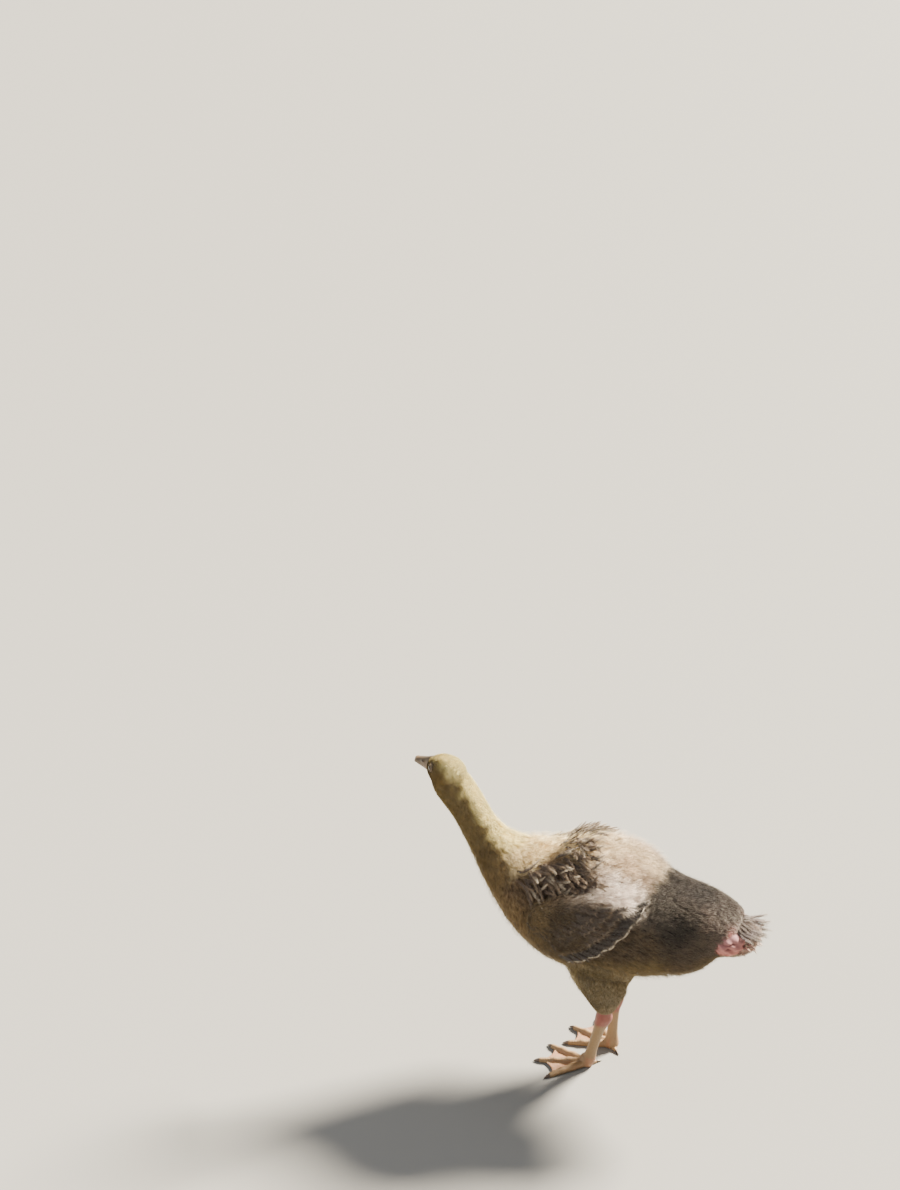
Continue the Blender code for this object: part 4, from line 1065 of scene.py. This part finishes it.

# The tail and the vent
# A short fan of tail feathers breaks from its quills in pale brushes, with soft grey coverts above it.
# Below them two mounds of bare pink skin, creased where they fold, make the vent, edged by thin pale locks;
# the creases are darkened with painted shade.

TAIL_ROOT = Vector((160, 0, 218)) * MM
TAIL_COVERT_ROOT = Vector((158, 0, 221)) * MM
TAIL_ROWS = (
    # root, half width across the roots, count, length, half width of a vane, rise in degrees, sheath, lift
    (TAIL_ROOT, 14, 16, 38, 4.8, -2, 0.42, 0.0),
    (TAIL_COVERT_ROOT, 12, 11, 24, 3.4, -2, 0.15, 1.6),
    (TAIL_COVERT_ROOT, 10, 9, 17, 3.2, 0, 0.05, 3.0),
)
TAIL_SPREAD = math.radians(64)
TAIL_BEND = 3 * MM
TAIL_COLOURS = ((80, 66, 68), (112, 97, 92), (152, 140, 127))
TAIL_COVERT_COLOURS = ((70, 59, 56), (94, 81, 76), (140, 124, 114))
VENT_LOCKS = (
    # x and z of the roots, half width, count, length, half width of a lock, rise in degrees
    (163, 190, 14, 8, 17, 3.2, 9),
    (172, 197, 13, 9, 19, 3.4, 8),
    (168, 204, 15, 8, 24, 3.4, 4),
)
VENT_SPREAD = math.radians(76)
VENT_COLOURS = ((176, 118, 108), (204, 170, 154), (222, 204, 184))


def fan(chance, root, half_width, count, length, spread_angle, rise, arch, lift):
    """Paths of feathers side by side that point back, and the ways up along them."""
    paths, ups = [], []
    for i in range(count):
        share = 2 * i / (count - 1) - 1
        angle = share * spread_angle / 2 + chance.normal(0, 0.04)
        slope = rise + chance.normal(0, 0.04)
        way = Vector((math.cos(angle) * math.cos(slope), math.sin(angle) * math.cos(slope), math.sin(slope)))
        raised = 0.9 * MM * (i % 2) - MM * share * share + lift * MM
        start = ZERO + root + Vector((0, share * half_width * MM, raised))
        long = length * MM * (1 - 0.12 * share * share) * chance.uniform(0.88, 1.04)
        shares = np.linspace(0, 1, SHAFT_STEPS)
        bend = Vector((0, chance.normal(0, 1), chance.normal(-0.2, 0.8))) * TAIL_BEND
        paths.append([start + way * long * s - UP * arch * s * s + bend * s**3 for s in shares])
        ups.append([UP] * SHAFT_STEPS)
    return np.array(paths), np.array(ups)


chance = np.random.default_rng([COAT_SEED, 300])
coat = Coat()
for row, (root, half_width, count, length, half, rise, sheath, lift) in enumerate(TAIL_ROWS):
    paths, ups = fan(chance, root, half_width, count, length, TAIL_SPREAD, math.radians(rise), 1.5 * MM, lift)
    colours = tinted(TAIL_COVERT_COLOURS if row else TAIL_COLOURS, count, chance)
    halves = half * MM * chance.uniform(0.9, 1.1, count)
    quill = (0.5 if row else 1.25) * MM
    add_feathers(coat, paths, ups, halves, colours, "body", chance, 30, 0.55, quill, sheath, 0.5)
coat.piece("tail_feathers", feather_finish)
coat = Coat()
for x, z, half_width, count, length, half, rise in VENT_LOCKS:
    root = Vector((x, 0, z)) * MM
    paths, ups = fan(chance, root, half_width, count, length, VENT_SPREAD, math.radians(rise), -2 * MM, 0)
    halves = half * MM * chance.uniform(0.8, 1.1, count)
    colours = tinted(VENT_COLOURS, count, chance)
    add_feathers(coat, paths, -ups, halves, colours, "body", chance, 16, 0.5, 0.3 * MM)
coat.piece("vent_locks", feather_finish)

VENT_MOUND = Vector((153, 17, 205)) * MM
VENT_MOUND_SIZE = Vector((23, 22, 16)) * MM
VENT_CREASES = (
    # places along x and up from the mound's middle, in millimetres, and the fold's strength there
    ((0, 5, 0), (6, 4, 0.9), (12, 5.5, 1), (18, 3, 0)),
    ((2, -2.5, 0), (7, 0, 0.9), (13, -2, 0)),
    ((-11, -3, 0), (-6, -6, 0.9), (0, -6.5, 0)),
    ((9, -6, 0), (3, -10, 0.8), (-6, -11.5, 0)),
)
CREASE_DEPTH = 1.6
CREASE_WIDTH = 1.1
# the painted shade in the creases: how strongly it darkens, and its colour
CREASE_SHADOW_SHARE = 0.85
CREASE_SHADOW_COLOUR = (88, 46, 46)
VENT_SWELL = 0.035
VENT_HIGH_COLOUR = (154, 110, 112)
VENT_LOW_COLOUR = (174, 108, 98)

vent_finish, vent_shader, vent_place = finish_named("vent_skin", 0.8)
feed_colour(vent_shader, vent_place, noise(vent_place, 350, 4, 0.6), 0.16)
vent_pores = noise(vent_place, 300, 4, 0.6) * 0.7 + noise(vent_place, 1400, 3) * 0.3
feed_bump(vent_shader, vent_place, 0.45, MM, vent_pores)
for word, side in SIDES.items():
    middle = ZERO + Vector((VENT_MOUND.x, side * VENT_MOUND.y, VENT_MOUND.z))
    mound = object_from("vent_skin_" + word, ball_form(middle, VENT_MOUND_SIZE, 160, 96))
    at = (corners_of(mound.data) - np.array(middle)) / MM
    x, z = at[:, 0:1], at[:, 2:3]
    at *= 1 + VENT_SWELL * (np.sin(x * 0.35 + 1) * np.cos(z * 0.4) + np.sin(z * 0.7 + x * 0.5))
    fold = np.zeros(len(at))
    for crease in VENT_CREASES:
        for start, end in zip(np.array(crease), np.array(crease[1:])):
            off, run = at[:, (0, 2)] - start[:2], (end - start)[:2]
            share = np.clip(off @ run / (run @ run), 0, 1)[:, None]
            apart = np.linalg.norm(off - share * run, axis=1)
            strength = start[2] + (end[2] - start[2]) * share[:, 0]
            fold = np.maximum(fold, strength * np.exp(-((apart / CREASE_WIDTH) ** 2)))
    fold *= at[:, 1] * side > 0
    low = np.clip(0.5 - at[:, 2:3] / 24, 0, 1)
    tone = blended(paint(VENT_HIGH_COLOUR), paint(VENT_LOW_COLOUR), low)
    # Painted shade: the skin is darkened towards a deep red-brown along the creases.
    tone = blended(tone, paint(CREASE_SHADOW_COLOUR), CREASE_SHADOW_SHARE * fold[:, None])
    at[:, 1] -= side * CREASE_DEPTH * fold
    move_corners(mound.data, at * MM + np.array(middle))
    give_colours(mound.data, "coat", tone)
    mound.data.shade_smooth()
    mound.data.materials.append(vent_finish)
    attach(mound, "root")

# The eyes
# Each eye is a wet dark ball with a brown iris, set in the head under a domed ring of bare skin: the two
# lids, thin at their edge, close round it and leave an oval opening.

EYE_RADIUS = 5.2 * MM
EYE_FORWARD = 0.55
EYE_UPWARD = 0.4
LIDS = (
    # how far the skin stands off its dome; half length, and height above and below the eye's middle
    (0, 6.8, 6.3, 6.1),
    (0, 6.1, 5.5, 5.3),
    (0, 5.6, 4.9, 4.7),
    (0.1, 5.1, 4.3, 4.1),
    (0.3, 4.6, 3.8, 3.5),
    (0.2, 4.3, 3.5, 3.2),
    (-1.2, 4.2, 3.4, 3.1),
)
LID_RIM = 4.9
LID_COLOUR = (76, 61, 38)
LID_RIM_COLOUR = (92, 75, 52)
IRIS_COLOURS = ((38, 27, 19), (72, 50, 34))
PUPIL_COLOUR = (0.004, 0.004, 0.004, 1)
PUPIL_EDGE = (0.36, 0.42)  # how far from the eye's middle, in radians
IRIS_EDGE = (0.78, 0.9)
LID_DOME = ((0, 3, 4, 4.7, 5.5, 6.3, 7.4), (5.6, 4.65, 3.85, 3.05, 1.95, 0.7, -0.6))

eye_finish, eye_shader, eye_place = finish_named("eye", 0.12, Coat_Weight=0.3, Coat_Roughness=0.03)
eye_shader.inputs["Specular IOR Level"].default_value = 0.3
gaze = eye_place.node("ShaderNodeAttribute", {"attribute_name": "gaze"})[2]
iris = noise(eye_place, 2600, 2).mix(*map(opaque, IRIS_COLOURS))
seen = gaze.between(*PUPIL_EDGE).mix(PUPIL_COLOUR, iris)
feed(eye_shader, "Base Color", gaze.between(*IRIS_EDGE).mix(seen, PUPIL_COLOUR))

lid_finish, lid_shader, lid_place = finish_named("eyelid", 0.6)
feed_colour(lid_shader, lid_place, noise(lid_place, 1500, 3), 0.2)
feed_bump(lid_shader, lid_place, 0.6, 0.2 * MM, noise(lid_place, 2200, 4))

for word, side in SIDES.items():
    middle = Vector((EYE.x, side * EYE.y, EYE.z))
    facing = Vector((EYE.x * EYE_FORWARD, side * EYE.y, EYE.z * EYE_UPWARD)).normalized()
    ball = bmesh.new()
    turn = facing.to_track_quat("Z", "Y").to_matrix().to_4x4()
    bmesh.ops.create_uvsphere(ball, u_segments=32, v_segments=28, radius=EYE_RADIUS, matrix=turn)
    moved(ball, head_place @ Matrix.Translation(middle))
    ball = object_from("eyeball_" + word, ball)
    out = unit(corners_of(ball.data) - np.array(head_place @ middle))
    straight = out @ np.array((head_turn @ facing.to_4d()).to_3d().normalized())
    layer = ball.data.attributes.new("gaze", "FLOAT", "POINT")
    layer.data.foreach_set("value", np.arccos(np.clip(straight, -1, 1)).astype(np.float32))
    ball.data.shade_smooth()
    ball.data.materials.append(eye_finish)
    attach(ball, "root")
    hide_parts("eye_" + word)

    level = (UP - facing * facing.z).normalized()
    ahead = level.cross(facing)
    rings = [
        (middle + facing * out * MM, level, ahead, above * MM, below * MM, long * MM, 40)
        for out, long, above, below in LIDS
    ]
    lids = skinned(rings)
    for corner in lids.verts:
        off = corner.co - middle
        flat = (off - facing * off.dot(facing)).length / MM
        corner.co += facing * float(np.interp(flat, *LID_DOME)) * MM
    lids = object_from("eyelids_" + word, moved(lids, head_place))
    off = corners_of(lids.data) - np.array(head_place @ middle)
    seen_along = np.array((head_turn @ facing.to_4d()).to_3d())
    flat = np.linalg.norm(off - (off @ seen_along)[:, None] * seen_along, axis=1) / MM
    rim = np.clip((LID_RIM - flat) / 0.4, 0, 1)[:, None]
    give_colours(lids.data, "coat", blended(paint(LID_COLOUR), paint(LID_RIM_COLOUR), rim))
    lids.data.shade_smooth()
    lids.data.materials.append(lid_finish)
    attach(lids, "root")

# The bill
# A short deep bill in two halves that part at the mouth line. It is smooth soft horn, dusky pink-brown,
# with a harder pale nail at the end and a sunk nostril on each side, painted dark inside as shade.

UPPER_BILL = (
    # x, top, bottom and half width, in the head's own frame
    (-24, 10.6, -5.6, 8.8),
    (-26.5, 10.2, -5.6, 8.9),
    (-33, 8, -5.6, 8.8),
    (-43, 4.2, -5.8, 8.6),
    (-53, 1, -6.3, 8.4),
    (-60, -1, -6.8, 7.6),
    (-64.6, -2.6, -7.3, 5.4),
    (-67, -4.4, -7.5, 2.6),
)
LOWER_BILL = (
    (-24, -2.6, -12.4, 7.9),
    (-26.5, -2.6, -12.2, 7.9),
    (-34, -2.7, -11.2, 7.8),
    (-44, -3, -10, 7.6),
    (-54, -3.6, -9.6, 7.3),
    (-61, -4.4, -9.4, 6),
    (-64, -5, -9, 3.8),
)
UPPER_BILL_EDGE = 0.09
LOWER_BILL_EDGE = 0.7
BILL_ROUNDNESS = 0.8
NAIL = Vector((-63.2, 0, -4.4)) * MM
NAIL_SIZE = Vector((4.8, 4.2, 2.9)) * MM
NOSTRIL = Vector((-42, 0, 0.6)) * MM
NOSTRIL_SIZE = Vector((3.4, 0, 1.25)) * MM
NOSTRIL_DEPTH = 1.6 * MM
BILL_GRAIN = 0.4 * MM
BILL_COLOUR = (98, 71, 46)
BILL_TOP_COLOUR = (66, 54, 33)
NAIL_COLOUR = (120, 99, 72)
MOUTH_COLOUR = (84, 52, 42)
NOSTRIL_SHADE_COLOUR = (40, 26, 22)


def bill_half(table, widest):
    """One half of the bill, widest at the edge where the halves meet."""
    rings = []
    for x, top, bottom, half_width in smooth_rows(table, 6) * MM:
        middle = bottom + (top - bottom) * widest
        sizes = (top - middle, middle - bottom, half_width)
        rings.append((Vector((x, 0, middle)), UP, ACROSS, *sizes, 48, 0.0, BILL_ROUNDNESS))
    return skinned(rings)


upper = bill_half(UPPER_BILL, UPPER_BILL_EDGE)
for corner in upper.verts:
    place = corner.co - NOSTRIL
    near = math.hypot(place.x / NOSTRIL_SIZE.x, place.z / NOSTRIL_SIZE.z)
    if abs(corner.co.y) > 3 * MM:
        sunk = max(0.0, 1 - near) ** 0.5 if near < 1 else 0.0
        raised = math.exp(-(((near - 1.5) / 0.4) ** 2))
        corner.co.y += math.copysign(0.35 * MM * raised - NOSTRIL_DEPTH * sunk, corner.co.y)
nail = ball_form(NAIL, NAIL_SIZE, 32, 20)
upper_bill = fused("bill_top", [upper, nail], BILL_GRAIN, 3)
upper.free()
nail.free()
lower = bill_half(LOWER_BILL, LOWER_BILL_EDGE)
lower_bill = object_from("bill_bottom", lower)
lower_bill.data.shade_smooth()

bill_finish, bill_shader, bill_place = finish_named("bill", 0.42, Coat_Weight=0.15, Coat_Roughness=0.3)
feed_colour(bill_shader, bill_place, noise(bill_place, 260, 4, 0.6), 0.22)
feed(bill_shader, "Roughness", noise(bill_place, 500, 3) * 0.25 + 0.32)
feed_bump(bill_shader, bill_place, 0.35, 0.15 * MM, noise(bill_place, 1800, 4, 0.6))

for half, node in ((upper_bill, "bill_upper"), (lower_bill, "bill_lower")):
    at = corners_of(half.data) / MM
    x, y, z = at.T
    top = np.clip((z - (-x - 24) * -0.28 + 2) / 8, 0, 1)[:, None] * np.clip((x + 64) / 10, 0, 1)[:, None]
    tone = blended(paint(BILL_COLOUR), paint(BILL_TOP_COLOUR), 0.75 * top)
    from_nail = np.linalg.norm((at - NAIL / MM) / (NAIL_SIZE / MM), axis=1)
    pale = np.clip((1.25 - from_nail) / 0.25, 0, 1)[:, None] * (node == "bill_upper")
    tone = blended(tone, paint(NAIL_COLOUR), pale)
    edge = np.exp(-(((z + 6.0 - (x + 43) * 0.06) / 0.7) ** 2))[:, None] * 0.5
    tone = blended(tone, paint(MOUTH_COLOUR), edge)
    # Painted shade: the nostril's hollow is darkened as the shade inside it.
    hole = np.hypot((x + 42) / 3.3, (z - 0.6) / 1.2)
    hollow = (np.clip((1.1 - hole) / 0.3, 0, 1) * (np.abs(y) > 3))[:, None] * (node == "bill_upper")
    give_colours(half.data, "coat", blended(tone, paint(NOSTRIL_SHADE_COLOUR), 0.8 * hollow))
    half.data.transform(head_place)
    half.data.materials.append(bill_finish)
    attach(half, "root")
    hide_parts(node)

# The legs
# A bare hock and shank in fine scales carry a foot of three long toes joined by thin webs, and a small
# hind toe. The skin is tan to pink, with rows of scutes down the shank's front and along the toes.

HOCK = Vector((16, 24, 80)) * MM
SHANK = (
    # height above the floor, half length, half width and how far back it stands
    (86, 8.6, 8.4, 0),
    (80, 9.6, 9, 0),
    (74, 10.4, 9.2, 1.2),
    (66, 9.2, 7.4, 1),
    (55, 7, 5.4, 0.2),
    (36, 6.4, 5, 0),
    (21, 6.8, 5.6, 0),
    (13, 8.2, 7.2, 0),
    (6, 8.4, 7.4, 0),
)
FOOT = {LEFT: (-5, 20, math.radians(14)), RIGHT: (13, 27, math.radians(20))}
TOES = {"middle": (57, 0), "outer": (53, -1), "inner": (53, 1)}
TOE_SPREAD = math.radians(35)
TOE_ROOT = 5.4 * MM
TOE_TIP = 3.1 * MM
TOE_KNUCKLES = (0.38, 0.68)
TOE_FLATNESS = 0.82
HIND_TOE = (13 * MM, math.radians(208))
WEB_HEIGHT = 2.6 * MM
WEB_THICKNESS = 1.3 * MM
WEB_REACH = 0.93
WEB_HOLLOW = 0.13
LEG_GRAIN = 0.75 * MM
LEG_SCUTES = 520.0  # to the metre
LEG_CELLS = 750.0
ANKLE_SIZE = Vector((9.2, 8.2, 10)) * MM
ANKLE_HEIGHT = 7 * MM
HIND_THICKNESS = (0.8, 0.72)  # of the other toes' root and tip
KNUCKLE_SWELL = 0.7 * MM
LEG_COLOUR = (144, 116, 81)
WEB_COLOUR = (156, 112, 80)
HOCK_COLOUR = (134, 72, 61)
PINK_FROM = {LEFT: 61, RIGHT: 52}  # how high above the floor the bare pink of the hock begins
WORDS = {side: word for word, side in SIDES.items()}


def heading(side, angle):
    return Vector((-math.cos(angle), side * math.sin(angle), 0))


def shank_form(side):
    foot_x, foot_y, _ = FOOT[side]
    foot = Vector((foot_x, side * foot_y, 0)) * MM
    hock = Vector((HOCK.x, side * HOCK.y, HOCK.z))
    rings = []
    for z, half_length, half_width, back in smooth_rows(SHANK, 3) * MM:
        centre = ZERO + foot.lerp(hock, z / HOCK.z) + Vector((back, 0, 0))
        rings.append((centre, Vector((1, 0, 0)), ACROSS, half_length, half_length, half_width, 28))
    return skinned(rings)


def toe_form(place, way, length, root, tip, knuckles):
    """A toe that lies on the floor, thicker at its knuckles and padded below, from the ankle to the claw."""
    across = Vector((-way.y, way.x, 0))
    rings = []
    for share in np.linspace(0, 1, 26):
        swell = sum(math.exp(-(((share - knuckle) / 0.07) ** 2)) for knuckle in knuckles)
        radius = root + (tip - root) * share + KNUCKLE_SWELL * swell
        centre = place + way * length * share + UP * radius * TOE_FLATNESS
        rings.append((centre, UP, across, radius, radius, radius, 20))
    return skinned(rings)


def web_form(place, ways, lengths):
    """The skin between two toes, its free edge drawn in and a little sunk between them."""
    near, far = (way * length * WEB_REACH for way, length in zip(ways, lengths))
    shape = bmesh.new()
    rim = [Vector((0, 0, 0)), near]
    for share in np.linspace(0, 1, 12)[1:-1]:
        hollow = 1 - WEB_HOLLOW * 4 * share * (1 - share)
        reach = (near.length + (far.length - near.length) * share) * hollow
        rim.append(near.slerp(far, share).normalized() * reach)
    rim.append(far)
    base = place + UP * (WEB_HEIGHT - WEB_THICKNESS / 2)
    face = shape.faces.new([shape.verts.new(base + point) for point in rim])
    pushed = bmesh.ops.extrude_face_region(shape, geom=[face])
    top = [part for part in pushed["geom"] if isinstance(part, bmesh.types.BMVert)]
    bmesh.ops.translate(shape, vec=(0, 0, WEB_THICKNESS), verts=top)
    bmesh.ops.recalc_face_normals(shape, faces=shape.faces)
    return shape


leg_finish, leg_shader, leg_place = finish_named("leg_skin", 0.5, Coat_Weight=0.1, Coat_Roughness=0.35)
scute_run = leg_place.node("ShaderNodeAttribute", {"attribute_name": "scute_run"})[2]
scute_weight = leg_place.node("ShaderNodeAttribute", {"attribute_name": "scute_weight"})[2]
scute = scute_run.node("ShaderNodeMath", {"operation": "FRACT"}, _0=scute_run * LEG_SCUTES)[0]
scute_height = scute.between(0.0, 0.16) * (1.0 - scute.between(0.6, 1.0) * 0.5)
to_edge = {"feature": "DISTANCE_TO_EDGE"}
cells = leg_place.node("ShaderNodeTexVoronoi", to_edge, Vector=leg_place, Scale=LEG_CELLS)[0]
cell_height = cells.between(0.0, 0.16)
relief = scute_height * scute_weight + cell_height * (1.0 - scute_weight) * 0.6
feed_bump(leg_shader, leg_place, 0.7, 0.35 * MM, relief)
grooves = relief * 0.35 + noise(leg_place, 500, 4, 0.6) * 0.5 + 0.1
feed_colour(leg_shader, leg_place, grooves, 0.35)
feed(leg_shader, "Roughness", noise(leg_place, 700, 3) * 0.3 + 0.35)

claw_places = []
for side, word in WORDS.items():
    foot_x, foot_y, turn = FOOT[side]
    ankle = ZERO + Vector((foot_x, side * foot_y, 0)) * MM
    shapes = [shank_form(side)]
    toe_lines = []
    ways = {toe: heading(side, turn + outwards * TOE_SPREAD) for toe, (_, outwards) in TOES.items()}
    for toe, (length, _) in TOES.items():
        shapes.append(toe_form(ankle, ways[toe], length * MM, TOE_ROOT, TOE_TIP, TOE_KNUCKLES))
        toe_lines.append((ways[toe], length * MM))
        claw_places.append((f"claw_{word}_{toe}", ankle, ways[toe], length * MM, TOE_TIP, 1.6 * MM))
    for toe in ("outer", "inner"):
        lengths = [TOES["middle"][0] * MM, TOES[toe][0] * MM]
        shapes.append(web_form(ankle, (ways["middle"], ways[toe]), lengths))
    hind_length, hind_turn = HIND_TOE
    hind = heading(side, turn + hind_turn)
    hind_root, hind_tip = TOE_ROOT * HIND_THICKNESS[0], TOE_TIP * HIND_THICKNESS[1]
    shapes.append(toe_form(ankle, hind, hind_length, hind_root, hind_tip, ()))
    toe_lines.append((hind, hind_length))
    claw_places.append((f"claw_{word}_hind", ankle, hind, hind_length, hind_tip, MM))
    shapes.append(ball_form(ankle + UP * ANKLE_HEIGHT, ANKLE_SIZE, 24, 16))
    leg = fused("leg_" + word, shapes, LEG_GRAIN, 4)
    for shape in shapes:
        shape.free()
    at = corners_of(leg.data)
    at[:, 2] = np.maximum(at[:, 2], 0)
    move_corners(leg.data, at)
    out = corners_of(leg.data, "normal")

    best = np.full(len(at), 1.0)
    run = at[:, 2].copy()
    weight = np.clip(-out[:, 0] * 1.5 + 0.1, 0, 1)
    low_down = at[:, 2] < 15 * MM
    for way, length in toe_lines:
        forward = (at - np.array(ankle)) @ np.array(way)
        apart = np.abs((at - np.array(ankle)) @ np.array((-way.y, way.x, 0)))
        here = low_down & (apart < best) & (forward > 3 * MM)
        best = np.where(here, apart, best)
        run = np.where(here, forward, run)
        on_top = np.clip(1.3 - apart / (TOE_ROOT * 0.8), 0, 1) * np.clip(out[:, 2] * 2, 0, 1)
        weight = np.where(here, on_top, weight)
    for label, values in (("scute_run", run), ("scute_weight", weight)):
        leg.data.attributes.new(label, "FLOAT", "POINT").data.foreach_set("value", values.astype(np.float32))
    webbed = np.clip((best - 4 * MM) / (3 * MM), 0, 1) * low_down
    rise = at[:, 2] / MM
    pink = np.clip((rise - PINK_FROM[side]) / 6, 0, 1) + 0.12 * np.exp(-(((rise - 12) / 8) ** 2))
    tone = blended(paint(LEG_COLOUR), paint(WEB_COLOUR), webbed[:, None])
    give_colours(leg.data, "coat", blended(tone, paint(HOCK_COLOUR), np.clip(pink, 0, 1)[:, None]))
    leg.data.materials.append(leg_finish)
    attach(leg, "root")
    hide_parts("shank_" + word, "foot_" + word)

# The claws
# A short blunt claw of dark horn leaves the end of each toe and curves down to the floor, streaked darker
# and paler.

CLAW_LENGTH = 8 * MM
CLAW_SINK = 0.6 * MM
CLAW_TAPER = ((0, 0.35, 0.7, 0.92, 1), (0.84, 0.72, 0.46, 0.22, 0.08))
CLAW_COLOURS = ((58, 46, 40), (116, 98, 84))

claw_finish, claw_shader, claw_place = finish_named("claw", 0.35, Coat_Weight=0.2, Coat_Roughness=0.2)
streaks = noise(claw_place, 900, 4, 0.6)
feed(claw_shader, "Base Color", streaks.mix(*map(opaque, CLAW_COLOURS)))
feed(claw_shader, "Roughness", streaks * 0.3 + 0.25)

for name, ankle, way, length, radius, drop in claw_places:
    across = Vector((-way.y, way.x, 0))
    rings = []
    for share in np.linspace(0, 1, 12):
        size = radius * np.interp(share, *CLAW_TAPER)
        centre = ankle + way * (length - CLAW_SINK + CLAW_LENGTH * share)
        centre.z = radius * TOE_FLATNESS - drop * share * share
        rings.append((centre, UP, across, size, size, size * 0.85, 18))
    claw = skinned(rings)
    whole = claw.verts[:] + claw.edges[:] + claw.faces[:]
    bmesh.ops.bisect_plane(claw, geom=whole, plane_co=(0, 0, 0), plane_no=(0, 0, -1), clear_outer=True)
    bmesh.ops.holes_fill(claw, edges=[e for e in claw.edges if e.is_boundary])
    bmesh.ops.recalc_face_normals(claw, faces=claw.faces)
    claw = object_from(name.replace("claw", "toenail"), claw)
    claw.data.shade_smooth()
    claw.data.materials.append(claw_finish)
    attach(claw, "root")
    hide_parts(name)

# The studio
# A pale floor, a strong warm soft light from behind and above, and weaker lamps in front, as the sun and
# sky stood to the bird. The camera stands about where the picture seems to have been taken from, above the
# bird and looking down at it.

CAMERA = Vector((471.0, -1757.9, 1257.7)) * MM
CAMERA_PITCH = math.radians(20)
CAMERA_TURN = math.radians(20.57)
SENSOR = 24
FLOOR_REACH = 200
SEEN_TO = 400
LENS = 1750 / 1190 * SENSOR

floor = bmesh.new()
bmesh.ops.create_grid(floor, x_segments=1, y_segments=1, size=FLOOR_REACH)
floor = object_from("floor", floor)
floor_finish, floor_shader, _ = finish_named("floor", 0.85)
floor_shader.inputs["Base Color"].default_value = (0.28, 0.274, 0.262, 1)
floor.data.materials.append(floor_finish)

view = bpy.data.cameras.new("view")
view.sensor_fit = "VERTICAL"
view.sensor_height = SENSOR
view.lens = LENS
view.clip_end = SEEN_TO
camera = bpy.data.objects.new("view", view)
camera.location = CAMERA + ZERO
camera.rotation_euler = (math.radians(90) - CAMERA_PITCH, 0, CAMERA_TURN)
bpy.context.scene.collection.objects.link(camera)
bpy.context.scene.camera = camera


def lamp(name, kind, place, aim, power, colour, **settings):
    light = bpy.data.lights.new(name, kind)
    light.energy = power
    light.color = colour
    for key, setting in settings.items():
        setattr(light, key, setting)
    made = bpy.data.objects.new(name, light)
    made.location = place
    made.rotation_euler = (Vector(aim) - Vector(place)).to_track_quat("-Z", "Y").to_euler()
    bpy.context.scene.collection.objects.link(made)


lamp("sun_side", "SUN", (1.26, 1.98, 1.86), (0, 0, 0), 31, (1.0, 0.91, 0.74), angle=math.radians(15))
lamp("front", "AREA", (-1.7, -2.1, 1.4), (0, 0, 0.2), 29, (0.98, 0.99, 1.0), size=1.0)
lamp("above", "AREA", (0, 0, 3.2), (0, 0, 0.2), 20, (1.0, 1.0, 1.0), size=3.0)
world = bpy.data.worlds.new("room")
world.use_nodes = True
room = world.node_tree.nodes["Background"]
room.inputs["Color"].default_value = (0.75, 0.76, 0.76, 1)
room.inputs["Strength"].default_value = 0.42
bpy.context.scene.world = world
